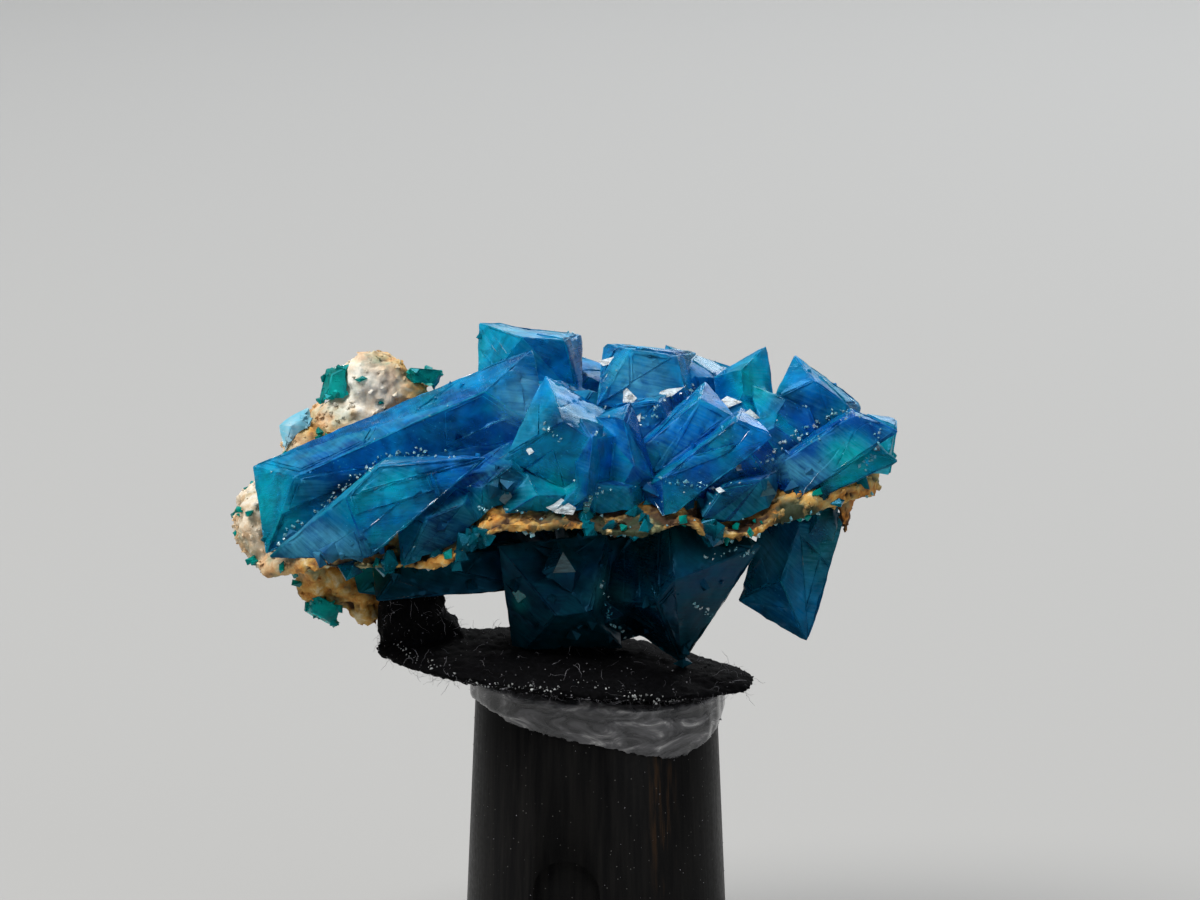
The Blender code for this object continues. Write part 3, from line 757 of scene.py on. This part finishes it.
# the crystals under the rock: the same crystal with painted shade, every colour darker and the absorption denser, as
# in the rock's shadow
lowerCrystal = dict(
    crystal, absorbColor=(0.0, 0.52, 0.62, 1.0), absorbDensity=4600.0, teal=(0.0, 0.34, 0.34),
    shine=0.02, satin=0.30, dark=(0.0, 0.010, 0.025), seaGreen=(0.0, 0.05, 0.07),
    frost=(0.0, 0.13, 0.19), haze=(0.03, 0.22, 0.26),
    tints=[(0.06, (0.0, 0.10, 0.12)), (0.25, (0.0, 0.06, 0.17)), (0.5, (0.0, 0.018, 0.035))])
lowerLook = crystalLook(
    "darkCrystal", lowerCrystal,
    tealSpots=[((-6.0, 0.0, 11.2), (1.0, 2.5, 1.0)), ((-1.9, -1.5, 10.6), (0.35, 1.0, 0.4))],
    frostSpots=[((2.9, -0.8, 10.2), (0.5, 1.2, 0.7)), ((0.3, -1.8, 11.0), (0.8, 1.0, 0.7))])
pendantCrystal = dict(
    crystal, absorbColor=(0.0, 0.80, 0.94, 1.0), absorbDensity=2600.0,
    dark=(0.0, 0.05, 0.14), seaGreen=(0.0, 0.16, 0.15),
    tints=[(0.1, (0.0, 0.10, 0.10)), (0.35, (0.0, 0.16, 0.24)), (0.6, (0.0, 0.26, 0.62))])
pendantLook = crystalLook("pendantBlue", pendantCrystal, frostSpots=[((4.4, 0.4, 11.4), (0.5, 1.2, 0.8))])
smallCrystal = dict(
    crystal, absorbColor=(0.05, 0.82, 0.80, 1.0), dark=(0.0, 0.25, 0.26), seaGreen=(0.0, 0.42, 0.32),
    frost=(0.02, 0.70, 0.66),
    tints=[(0.1, (0.0, 0.45, 0.42)), (0.6, (0.0, 0.62, 0.58)), (0.9, (0.02, 0.75, 0.70))])
smallLook = crystalLook("tealCrystal", smallCrystal)
paleCrystal = dict(
    crystal, absorbColor=(0.40, 0.90, 0.95, 1.0), absorbDensity=900.0, transmission=0.25, mottled=0.25,
    dark=(0.10, 0.45, 0.50), frost=(0.85, 0.95, 0.97),
    tints=[(0.2, (0.72, 0.94, 0.97)), (0.8, (0.97, 1.0, 1.0))])
paleLook = crystalLook("paleCrystal", paleCrystal, frostSpots=[((-7.8, 1.9, 14.5), (0.9, 0.9, 0.9))])

crystalTrees = {}
crystalPieces = {}
mainCrystals = ("upper_crystals", "lower_crystals", "pendant_crystal")
for name, look, slot in (
        ("upper_crystals", upperLook, "blue_crystal"), ("lower_crystals", lowerLook, "dark_crystal"),
        ("pendant_crystal", pendantLook, "blue_crystal"), ("knob_crystal", smallLook, "teal_crystal"),
        ("knob_side_crystal", smallLook, "teal_crystal"), ("ridge_crystal", paleLook, "teal_crystal"),
        ("tongue_crystal", smallLook, "teal_crystal")):
    dice = random.Random(crystal["seed"])
    work = facetMesh(name, crystal, dice)
    addFacetLayers(work, dice)
    addRelief(work, crystal)
    crystalTrees[name] = BVHTree.FromBMesh(work)
    words = name.split("_")
    piece = meshObject(words[0] + "".join(w.title() for w in words[1:]) + "Faceted", work)
    crystalPieces[name] = piece
    smoothShade(piece, crystal["creased"])
    finishPiece(piece, look, replaced=(name,))
print("crystals ready", [len(p.data.polygons) for p in crystalPieces.values()])


# what sits on and in the crystals: crumbs along edges, bright small faces, inner cracks

crumb = {
    "lines": [  # along crystal edges, in points of the frame
        ((267, 556), (300, 522), (345, 486), (387, 456), (420, 453), (454, 456)),
        ((747, 477), (766, 459), (785, 441), (818, 423), (848, 411)),
        ((329, 428), (360, 415), (388, 404), (430, 384)), ((543, 427), (552, 433), (560, 441)),
        ((640, 424), (665, 404), (693, 385)), ((583, 516), (590, 503), (598, 492), (612, 487)),
        ((691, 603), (703, 610), (715, 619)), ((602, 582), (606, 606), (611, 621), (640, 646)),
        ((480, 508), (505, 512), (535, 511)), ((862, 470), (876, 447), (880, 425)),
        ((660, 478), (690, 486), (720, 489)), ((700, 560), (725, 552), (752, 553)),
    ],
    "width": 0.10,  # mm, half width of the strip that they lie in
    "spacing": 3.0,  # points of the frame
    "share": 0.35,  # how many of the other edges have some
    "stripWidth": 0.05,
    "shortest": 0.5,  # mm, edges shorter than this have none
    "blunt": 12.0,  # degrees, nor edges less sharp than this
    "line": spread(30.0, 0.035, 0.15, 0.9, 0.01, 4),
    "strip": spread(22.0, 0.025, 0.10, 0.9, 0.0, 5),
    "seed": 23,
}


def surfacePoint(x, y, names=mainCrystals):
    # where the line of sight first meets one of the named bodies
    start, toward = photoRay(x, y)
    best = None
    for name in names:
        place, normal, index, distance = crystalTrees[name].ray_cast(start, toward)
        if place is not None and (best is None or distance < best[2]):
            best = (place, normal, distance)
    return best


def crumbGround(lines, width, dice, names=mainCrystals):
    # small squares on a surface, along edges seen in the picture
    work = bmesh.new()
    for line in lines:
        for (ax, ay), (bx, by) in zip(line, line[1:]):
            steps = max(2, int(math.hypot(bx - ax, by - ay) / crumb["spacing"]))
            for step in range(steps):
                s = (step + dice.random()) / steps
                x = ax + (bx - ax) * s + dice.gauss(0, 1.2)
                y = ay + (by - ay) * s + dice.gauss(0, 1.5)
                hit = surfacePoint(x, y, names)
                if hit is None:
                    continue
                place, normal, _ = hit
                side = normal.orthogonal().normalized() * width
                other = normal.cross(side)
                work.faces.new([work.verts.new(place + side * i + other * j)
                                for i, j in ((-1, -1), (1, -1), (1, 1), (-1, 1))])
    return work


def edgeStrips(node, share, width, dice):
    # narrow strips beside some of the sharp outer edges of a crystal, for crumbs all round it
    work = bmesh.new()
    source = nodeMesh(node)
    for edge in source.edges:
        if len(edge.link_faces) != 2 or edge.calc_length() < crumb["shortest"] or dice.random() > share:
            continue
        if edge.calc_face_angle_signed(0.0) < math.radians(crumb["blunt"]):
            continue
        a, b = (v.co.copy() for v in edge.verts)
        normal = (edge.link_faces[0].normal + edge.link_faces[1].normal).normalized()
        side = (b - a).cross(normal).normalized() * width
        low, high = sorted((dice.random(), dice.random()))
        a, b = a.lerp(b, low), a.lerp(b, high)
        work.faces.new([work.verts.new(c) for c in (a - side, b - side, b + side, a + side)])
    bmesh.ops.recalc_face_normals(work, faces=work.faces)
    source.free()
    return work


def sugarLook():
    tree, shader = newMaterial("sugarCrystal")
    point = objectPoint(tree)
    tone = noiseMap(tree, point, 2.5, 3.0)
    color = ramp(tree, tone, [(0.35, (0.10, 0.55, 0.75)), (0.5, (0.35, 0.78, 0.88)), (0.65, (0.85, 0.95, 0.97))])
    rough = ramp(tree, noiseMap(tree, point, 9.0, 2.0), [(0.3, 0.08), (0.7, 0.3)])
    finishLook(tree, shader, {"Transmission Weight": 0.55, "IOR": 1.6}, color, rough)
    return bpy.data.materials["sugarCrystal"]


dice = random.Random(crumb["seed"])
sugar = sugarLook()
lineGround = meshObject("lineGround", crumbGround(crumb["lines"], crumb["width"], dice))
stripGround = meshObject("stripGround", edgeStrips("upper_crystals", crumb["share"], crumb["stripWidth"], dice))
for name, ground, settings in (("edgeCrumbs", lineGround, crumb["line"]),
                               ("roundCrumbs", stripGround, crumb["strip"])):
    setGrowth(ground, lambda co, n: 1.0)
    finishPiece(scatter(name, ground, wedgeShapes, sugar, settings), None)
    bpy.data.objects.remove(ground)


def smallCrystals(name, node, rule, look, settings):
    # young crystals that sit on the large ones
    work = bmesh.new()
    work.from_mesh(crystalPieces[node].data)
    bmesh.ops.scale(work, vec=(1.0 / mm,) * 3, verts=work.verts)
    ground = meshObject(name + "Base", work)
    setGrowth(ground, rule)
    made = scatter(name, ground, wedgeShapes, look, settings)
    bpy.data.objects.remove(ground)
    finishPiece(made, None)


young = {
    "foot": spread(1.5, 0.18, 0.75, 0.8, -0.04, 14),
    "side": spread(0.45, 0.08, 0.30, 0.35, -0.04, 15),
    "under": spread(0.8, 0.10, 0.55, 0.8, -0.03, 16),
    "teeth": spread(9.0, 0.10, 0.36, 0.7, -0.02, 17),
}


def footGrowth(co, normal):
    # most of them stand low, and few at the right end
    return fade(1.5 - (co.z - seamHeight(co.x)), 0.0, 0.9) * (1.0 - 0.85 * fade(co.x, 3.8, 4.8))


smallCrystals("footCrystals", "upper_crystals", footGrowth, upperLook, young["foot"])
smallCrystals("sideCrystals", "upper_crystals", lambda co, n: 1.0, upperLook, young["side"])
for node, look in (("knob_crystal", smallLook), ("knob_side_crystal", smallLook), ("ridge_crystal", paleLook),
                   ("tongue_crystal", smallLook)):
    name = node.split("_")[0] + node.split("_")[1].title() + "Teeth"
    smallCrystals(name, node, lambda co, n: 1.0, look, young["teeth"])
smallCrystals("underCrystals", "lower_crystals", lambda co, n: 1.0, lowerLook, young["under"])


def paneLook(name, color, rough, transmission):
    tree, shader = newMaterial(name)
    point = objectPoint(tree)
    tone = noiseMap(tree, objectPoint(tree, (1.0, 1.0, 4.0), (0.4, 0.7, 0.2)), 3.0, 4.0)
    shade = ramp(tree, tone, [(0.38, [c * 0.30 for c in color]), (0.56, color)])
    finishLook(tree, shader, {"Transmission Weight": transmission, "IOR": 1.6}, shade,
               ramp(tree, tone, [(0.3, rough), (0.7, rough + 0.15)]),
               bumps(tree, noiseMap(tree, point, 6.0, 4.0), 0.8, 0.05))
    return bpy.data.materials[name]


panes = {  # small crystal faces that stand out in the picture: corners in points of the frame
    # painted highlight: real teeth turned to mirror the key light, with a near-white colour painted on as their
    # glint
    "whitePane": [
        ((545, 507), (561, 498), (576, 508), (573, 515), (556, 513)),
        ((617, 394), (627, 388), (637, 398), (631, 406), (620, 404)),
        ((645, 396), (668, 389), (684, 387), (672, 396), (650, 402)), ((633, 419), (641, 413), (640, 422)),
        ((598, 361), (616, 356), (621, 361), (603, 366)),
        ((714, 405), (727, 396), (742, 402), (730, 405), (717, 412)),
        ((744, 413), (750, 409), (760, 418), (748, 420)), ((526, 450), (530, 446), (534, 452), (529, 455)),
        ((715, 489), (720, 487), (725, 491), (719, 493)), ((735, 466), (741, 464), (742, 470), (737, 471)),
        ((872, 446), (879, 445), (880, 451), (874, 451)),
    ],
    "tealPane": [
        ((584, 494), (593, 496), (589, 511), (583, 515)), ((512, 592), (521, 588), (526, 597), (518, 603)),
    ],
    "greyPane": [
        ((553, 573), (563, 552), (576, 572)), ((499, 500), (507, 486), (514, 500), (506, 506)),
        ((760, 497), (768, 480), (777, 494)),
    ],
}
paneLooks = {
    # the near-white colour is a painted highlight
    "whitePane": paneLook("whitePane", (0.72, 0.88, 0.96), 0.22, 0.45),
    "tealPane": paneLook("tealPane", (0.0, 0.72, 0.80), 0.20, 0.80),
    "greyPane": paneLook("greyPane", (0.07, 0.30, 0.38), 0.30, 0.70),
}


def makePanes(name, outlines, lean):
    # each is a low tooth of crystal, its front face turned a little towards the key light
    start = photoRay(view["width"] / 2, view["height"] / 2)[0]
    key = Vector(light["lamps"]["keyLight"][0]) / mm
    work = bmesh.new()
    for outline in outlines:
        x = sum(p[0] for p in outline) / len(outline)
        y = sum(p[1] for p in outline) / len(outline)
        hit = surfacePoint(x, y)
        if hit is None:
            continue
        place, normal, _ = hit
        half = ((start - place).normalized() + (key - place).normalized()).normalized()
        front = (normal * lean + half).normalized()
        middle = place + (start - place).normalized() * 0.05
        corners = []
        for px, py in outline:
            eye, toward = photoRay(px, py)
            corners.append(eye + toward * ((middle - eye).dot(front) / toward.dot(front)))
        made = bmesh.new()
        away = (middle - start).normalized()
        for corner in corners:
            made.verts.new(corner)
            made.verts.new(middle + (corner - middle) * 0.9 + away * 0.16)
        made.verts.new(middle + away * 0.35)
        bmesh.ops.convex_hull(made, input=made.verts)
        bmesh.ops.delete(made, geom=[v for v in made.verts if not v.link_faces], context="VERTS")
        bmesh.ops.recalc_face_normals(made, faces=made.faces)
        mesh = bpy.data.meshes.new("tooth")
        made.to_mesh(mesh)
        made.free()
        work.from_mesh(mesh)
        bpy.data.meshes.remove(mesh)
    return meshObject(name, work)


for name, outlines in panes.items():
    finishPiece(makePanes(name + "s", outlines, 0.35 if name == "whitePane" else 2.5), paneLooks[name])

veil = {
    "count": 260,  # in each group of crystals
    "tries": 20000,
    "smallest": 0.25,  # mm
    "largest": 1.1,
    "thickness": 0.012,
    "margin": 0.06,  # least distance from the surface
    "planes": ((0.2, -0.6, 0.8), (-0.5, -0.3, 0.8), (0.6, -0.5, 0.6), (0.1, -1.0, 0.1)),  # their normals
    "seed": 31,
}


def isInside(tree, point):
    # counts how often a line from the point meets the surface
    crossings, start = 0, point.copy()
    toward = Vector((0.31, 0.22, 0.92)).normalized()
    while True:
        place, normal, index, distance = tree.ray_cast(start, toward)
        if place is None:
            return crossings % 2 == 1
        crossings += 1
        start = place + toward * 0.0005


def makeVeils(settings, names):
    # thin cracks and growth layers inside the crystals, which catch the light
    dice = random.Random(settings["seed"])
    planes = [Vector(v).normalized() for v in settings["planes"]]
    work = bmesh.new()
    for name in names:
        tree = crystalTrees[name]
        box = [Vector(c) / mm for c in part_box(name)]
        made = 0
        for _ in range(settings["tries"]):
            middle = Vector([dice.uniform(box[0][k], box[1][k]) for k in range(3)])
            normal = (dice.choice(planes) + Vector([dice.gauss(0, 0.12) for _ in range(3)])).normalized()
            size = dice.uniform(settings["smallest"], settings["largest"]) * dice.uniform(0.4, 1.0)
            side = normal.orthogonal().normalized()
            other = normal.cross(side)
            stretch, sides = dice.uniform(0.3, 0.8), dice.randint(4, 6)
            turns = sorted(dice.uniform(0, 2 * math.pi) for _ in range(sides))
            ring = [middle + side * math.cos(a) * size + other * math.sin(a) * size * stretch for a in turns]
            tests = [middle] + [a.lerp(b, s) for a, b in zip(ring, ring[1:] + ring[:1])
                                for s in (0.0, 0.25, 0.5, 0.75)]
            near = min(tree.find_nearest(p)[3] for p in tests)
            if near < settings["margin"] or not all(isInside(tree, p) for p in tests):
                continue
            lift = normal * settings["thickness"] * 0.5
            low = [work.verts.new(p - lift) for p in ring]
            high = [work.verts.new(p + lift) for p in ring]
            work.faces.new(low[::-1])
            work.faces.new(high)
            for k in range(sides):
                work.faces.new((low[k], low[(k + 1) % sides], high[(k + 1) % sides], high[k]))
            made += 1
            if made >= settings["count"]:
                break
    return meshObject("innerCracks", work)


def veilLook():
    tree, shader = newMaterial("innerCrack")
    tone = noiseMap(tree, objectPoint(tree), 2.2, 4.0, 0.6, 0.5)
    color = ramp(tree, tone, [(0.4, (0.05, 0.40, 0.80)), (0.62, (0.45, 0.85, 0.98))])
    rough = ramp(tree, tone, [(0.3, 0.15), (0.7, 0.45)])
    finishLook(tree, shader, {"Transmission Weight": 0.7, "IOR": 1.25}, color, rough)
    return bpy.data.materials["innerCrack"]


finishPiece(makeVeils(veil, ("upper_crystals", "lower_crystals")), veilLook())
print("crystal details ready")


# rock

rock = {
    "voxel": 0.085,
    "lumps": 0.10,
    "grain": 0.055,
    "pits": 0.20,
    "seamThinning": 0.10,
    "rimThinning": 0.12,
    "ochre": [(0.30, (0.14, 0.05, 0.01)), (0.43, (0.55, 0.23, 0.03)), (0.56, (0.66, 0.40, 0.10)),
              (0.70, (0.80, 0.68, 0.42))],
    "cream": [(0.28, (0.55, 0.30, 0.10)), (0.41, (0.78, 0.62, 0.42)), (0.54, (0.90, 0.84, 0.72)),
              (0.70, (1.0, 0.98, 0.94))],
    "crumbs": spread(10.0, 0.05, 0.20, 3.1, 0.01, 3),
    "druse": spread(0.9, 0.12, 0.38, 0.9, 0.03, 11),
    "seamCrystals": spread(11.0, 0.22, 0.68, 0.7, 0.0, 33),
    "seamSugar": spread(7.0, 0.05, 0.20, 0.9, 0.02, 34),
}


def rockLook():
    tree, shader = newMaterial("stainedRock")
    point = objectPoint(tree)
    hollow = attributeMap(tree, "hollow")
    broad = noiseMap(tree, point, 0.9, 5.0, 0.6, 0.4)
    middle = noiseMap(tree, point, 3.2, 6.0, 0.6, 0.3)
    fine = noiseMap(tree, point, 13.0, 5.0, 0.6)
    ochre = ramp(tree, middle, rock["ochre"])
    cream = ramp(tree, middle, rock["cream"])
    paleLeft = spotMask(tree, (-8.3, 0.5, 12.8), (1.9, 3.2, 2.6), 0.8)
    paleKnob = spotMask(tree, (-6.3, 2.6, 15.2), (1.7, 1.6, 1.6), 0.8)
    pale = mathNode(tree, "MAXIMUM", paleLeft, paleKnob)
    color = mixColors(tree, pale, ochre, cream)
    chalk = spotMask(tree, (-5.9, 2.6, 15.5), (1.3, 1.5, 1.1), 0.8)
    color = mixColors(tree, mathNode(tree, "MULTIPLY", chalk, 0.55), color, (1.0, 0.97, 0.88))
    color = mixColors(tree, mathNode(tree, "MULTIPLY", paleLeft, 0.35), color, (0.52, 0.42, 0.29))
    rust = spotMask(tree, (6.6, 0.4, 12.6), (0.9, 1.8, 1.3), 0.7)
    color = mixColors(tree, mathNode(tree, "MULTIPLY", rust, 0.85), color, (0.55, 0.16, 0.02))
    stain = ramp(tree, broad, [(0.52, 0.0), (0.64, 1.0)])
    clean = mathNode(tree, "MULTIPLY_ADD", pale, -0.35, 0.6)
    color = mixColors(tree, mathNode(tree, "MULTIPLY", stain, clean), color, (0.0, 0.22, 0.17))
    # painted shade: the rock's front edge darkened to olive-black where it lies between the crystals above and below
    seamShadeMask = mathNode(tree, "MAXIMUM", spotMask(tree, (0.4, -2.8, 12.6), (3.4, 1.3, 0.8), 0.5),
                    spotMask(tree, (5.0, -2.0, 12.9), (1.0, 1.2, 0.5), 0.5))
    patches = ramp(tree, noiseMap(tree, point, 1.7, 4.0, 0.6, 0.4), [(0.51, 1.0), (0.61, 0.0)])
    color = mixColors(tree, mathNode(tree, "MULTIPLY", seamShadeMask, patches), color, (0.022, 0.034, 0.010))
    deep = ramp(tree, hollow, [(0.24, 1.0), (0.50, 0.0)])
    hole = mathNode(tree, "MULTIPLY", deep, mathNode(tree, "MULTIPLY_ADD", pale, -0.6, 1.0))
    color = mixColors(tree, hole, color, (0.06, 0.026, 0.008))
    color = mixColors(tree, 0.25, color, ramp(tree, fine, [(0.3, 0.35), (0.7, 1.0)]), "MULTIPLY")
    finishLook(tree, shader, {}, color, ramp(tree, fine, [(0.3, 0.65), (0.7, 0.95)]), bumps(tree, fine, 0.7, 0.03))
    return bpy.data.materials["stainedRock"]


def roughen(piece, settings, rule):
    # moves each point along its normal and keeps how deep it lies
    mesh = piece.data
    normals = [n.vector.copy() for n in mesh.vertex_normals]
    depth = []
    for vertex, normal in zip(mesh.vertices, normals):
        move = rule(vertex.co, normal)
        vertex.co += normal * move
        depth.append(max(0.0, min(1.0, 0.6 + move / (settings["lumps"] + settings["grain"]) * 0.5)))
    mesh.attributes.new("hollow", "FLOAT", "POINT").data.foreach_set("value", depth)


def rockRelief(co, normal):
    # lumps, grain and pits, and a thinner plate along its front edge and under the right rim
    near = nearLine(co, frontSeam)
    thin = -rock["seamThinning"] * fade(1.0 - near, 0.0, 0.6) * abs(normal.z) * (1.0 - 1.6 * fade(co.x, 3.8, 4.8))
    thin -= rock["rimThinning"] * fade(1.0 - (co - Vector((6.55, 0.3, 12.3))).length, 0.0, 0.5)
    big = noise.fractal(co * 1.3, 0.6, 2.2, 4) * rock["lumps"]
    small = noise.fractal(co * 6.0, 0.7, 2.1, 3) * rock["grain"]
    cells = noise.voronoi(co * 2.6)[0]
    pit = -rock["pits"] * fade(0.38 - cells[0], 0.0, 0.38) * fade(noise.noise(co * 0.8) + 0.25, 0.0, 0.4)
    return big + small + pit + thin


rockPiece = remeshNode("rock_plate", rock["voxel"])
roughen(rockPiece, rock, rockRelief)
smoothShade(rockPiece, 50.0)


def seamGrowth(co, normal):
    # crumbs lie thickest along the front edge, the left rim and the knob
    near = nearLine(co, frontSeam)
    rim = fade(-7.2 - co.x, 0.0, 0.5) + fade(co.z - 13.6, 0.0, 0.4)
    right = fade(co.x, 5.9, 6.3) * fade(13.1 - co.z, 0.0, 0.3)
    return (0.25 + 0.7 * fade(1.0 - near, 0.2, 0.8) + 0.6 * rim) * (1.0 - right)


setGrowth(rockPiece, seamGrowth)
rockMaterial = rockLook()
crumbs = scatter("rockCrumbs", rockPiece, grainShapes, rockMaterial, rock["crumbs"])
druse = scatter("rockDruse", rockPiece, wedgeShapes, smallLook, rock["druse"])


def breakGrowth(co, normal):
    # where crystals cover the rock's front edge, and a thin spread of them elsewhere on it
    near = nearLine(co, frontSeam)
    covered = max(fade(0.55 - abs(co.x + 3.2), 0.0, 0.3), fade(0.45 - abs(co.x - 2.95), 0.0, 0.3),
                  fade(0.35 - abs(co.x + 5.3), 0.0, 0.3), 0.5 * fade(0.35 - abs(co.x - 1.2), 0.0, 0.3),
                  fade(0.25 - abs(co.x + 0.3), 0.0, 0.2))
    return fade(0.9 - near, 0.0, 0.4) * (covered + 0.06)


setGrowth(rockPiece, breakGrowth)
seamCrystals = scatter("seamCrystals", rockPiece, wedgeShapes, upperLook, rock["seamCrystals"])
setGrowth(seamCrystals, lambda co, n: abs(co.z - seamHeight(co.x)), "rise")
setGrowth(rockPiece, lambda co, n: fade(0.7 - nearLine(co, frontSeam), 0.0, 0.4) * (1.0 if n.z < -0.1 else 0.15))
seamSugar = scatter("seamSugar", rockPiece, wedgeShapes, sugar, rock["seamSugar"])
finishPiece(seamCrystals, None)
finishPiece(seamSugar, None)
finishPiece(rockPiece, rockMaterial, replaced=("rock_plate",))
finishPiece(crumbs, rockMaterial)
finishPiece(druse, smallLook)
print("rock ready", len(rockPiece.data.polygons), len(crumbs.data.polygons), len(druse.data.polygons))


# putty, lint and glue

putty = {
    "voxel": 0.10,
    "lumps": 0.05,
    "grain": 0.05,
    "grainLines": [  # bright grains along its lower edge, in points of the frame
        ((455, 672), (470, 680), (500, 685), (530, 688), (562, 690)), ((575, 683), (592, 682), (610, 690)),
        ((620, 694), (660, 700), (700, 703)), ((395, 640), (410, 655), (440, 668)),
    ],
    "grainWidth": 0.09,
    "grainSeed": 9,
    "grains": spread(42.0, 0.015, 0.10, 3.1, 0.0, 29),
    "lint": spread(15.0, 0.15, 0.55, 1.4, 0.0, 21),
    "dust": spread(14.0, 0.015, 0.06, 3.1, 0.01, 22),
}


def puttyLook():
    tree, shader = newMaterial("blackPutty")
    point = objectPoint(tree)
    fine = noiseMap(tree, point, 9.0, 6.0, 0.65)
    color = ramp(tree, fine, [(0.35, (0.002, 0.002, 0.0022)), (0.6, (0.004, 0.004, 0.0047)),
                              (0.78, (0.012, 0.013, 0.015))])
    finishLook(tree, shader, {"Specular IOR Level": 0.015}, color, ramp(tree, fine, [(0.3, 0.55), (0.7, 0.85)]),
               bumps(tree, fine, 0.8, 0.04))
    return bpy.data.materials["blackPutty"]


def lintLook():
    tree, shader = newMaterial("paleLint")
    tone = noiseMap(tree, objectPoint(tree), 2.0, 2.0)
    color = ramp(tree, tone, [(0.35, (0.03, 0.03, 0.035)), (0.65, (0.30, 0.30, 0.33))])
    finishLook(tree, shader, {"Roughness": 0.5}, color)
    return bpy.data.materials["paleLint"]


def puttyRelief(co, normal):
    lumps = noise.fractal(co * 1.6, 0.6, 2.2, 3) * putty["lumps"]
    return lumps + noise.fractal(co * 7.0, 0.7, 2.1, 3) * putty["grain"]


puttyPiece = remeshNode("putty_pad", putty["voxel"])
roughen(puttyPiece, putty, puttyRelief)
smoothShade(puttyPiece, 60.0)
crystalTrees["putty_pad"] = BVHTree.FromPolygons([v.co for v in puttyPiece.data.vertices],
                                                [tuple(f.vertices) for f in puttyPiece.data.polygons])
grainLines = crumbGround(putty["grainLines"], putty["grainWidth"], random.Random(putty["grainSeed"]), ("putty_pad",))
grainGround = meshObject("grainGround", grainLines)
setGrowth(grainGround, lambda co, n: 1.0)
grainLook = paneLook("paleGrain", (0.55, 0.58, 0.58), 0.25, 0.3)
puttyGrains = scatter("puttyGrains", grainGround, grainShapes, grainLook, putty["grains"])
bpy.data.objects.remove(grainGround)
finishPiece(puttyGrains, None)
setGrowth(puttyPiece, lambda co, n: 1.0 if n.z < 0.6 else 0.2)
paleLint = lintLook()
lint = scatter("puttyLint", puttyPiece, lintShapes, paleLint, putty["lint"])
puttyDust = scatter("puttyDust", puttyPiece, grainShapes, paleLint, putty["dust"])
finishPiece(puttyDust, None)
finishPiece(puttyPiece, puttyLook(), replaced=("putty_pad",))
finishPiece(lint, None)

glue = {"voxel": 0.07, "lumps": 0.05, "grain": 0.01, "stretch": (1.0, 1.0, 0.5)}


def glueLook():
    tree, shader = newMaterial("smokyGlue")
    point = objectPoint(tree, (1.0, 1.0, 3.0), (0.0, 0.5, 0.0))
    streaks = noiseMap(tree, point, 0.9, 4.0, 0.6, 1.2)
    color = ramp(tree, streaks, [(0.40, (0.05, 0.052, 0.056)), (0.55, (0.16, 0.16, 0.17)),
                                 (0.66, (0.50, 0.50, 0.50))])
    finishLook(tree, shader, {"Transmission Weight": 0.35, "IOR": 1.48}, color,
               ramp(tree, streaks, [(0.3, 0.08), (0.7, 0.3)]), bumps(tree, streaks, 0.4, 0.05))
    return bpy.data.materials["smokyGlue"]


def glueRelief(co, normal):
    return noise.fractal(co * Vector(glue["stretch"]), 0.6, 2.2, 2) * glue["lumps"]


gluePiece = remeshNode("glue_collar", glue["voxel"])
roughen(gluePiece, glue, glueRelief)
smoothShade(gluePiece, 60.0)
finishPiece(gluePiece, glueLook(), replaced=("glue_collar",))


# peg

peg = {
    "creased": 30.0,  # degrees, edges sharper than this stay sharp
    "dust": spread(1.4, 0.012, 0.045, 3.1, 0.004, 8),
}


def pegLook():
    tree, shader = newMaterial("satinBlackPeg")
    point = objectPoint(tree)
    upright = noiseMap(tree, objectPoint(tree, (1.0, 1.0, 0.06)), 5.0, 5.0, 0.6)
    fine = noiseMap(tree, point, 8.0, 5.0, 0.6)
    color = ramp(tree, upright, [(0.4, (0.003, 0.003, 0.0033)), (0.7, (0.010, 0.0095, 0.009))])
    brown = mathNode(tree, "MULTIPLY", spotMask(tree, (1.7, -2.9, 5.6), (0.5, 1.2, 3.0), 0.7),
                     ramp(tree, upright, [(0.5, 0.0), (0.62, 1.0)]))
    color = mixColors(tree, brown, color, (0.035, 0.018, 0.008))
    specks = cellMap(tree, point, 5.0)
    color = mixColors(tree, ramp(tree, specks, [(0.05, 0.6), (0.09, 0.0)]), color, (0.16, 0.16, 0.15))
    worn = mathNode(tree, "MULTIPLY_ADD", upright, 0.5, mathNode(tree, "MULTIPLY", fine, 0.5))
    finishLook(tree, shader, {"Specular IOR Level": 0.07}, color, ramp(tree, worn, [(0.35, 0.28), (0.65, 0.5)]),
               bumps(tree, upright, 0.25, 0.03))
    return bpy.data.materials["satinBlackPeg"]


pegPiece = meshObject("pegSmooth", nodeMesh("peg"))
smoothShade(pegPiece, peg["creased"])
setGrowth(pegPiece, lambda co, n: 1.0 if n.z > -0.5 else 0.0)
dust = scatter("pegDust", pegPiece, grainShapes, paleLint, peg["dust"])
finishPiece(pegPiece, pegLook(), replaced=("peg",))
finishPiece(dust, None)
print("putty, glue and peg ready")

for group in (grainShapes, wedgeShapes, lintShapes):
    for shape in list(group.objects):
        bpy.data.objects.remove(shape)
    bpy.data.collections.remove(group)
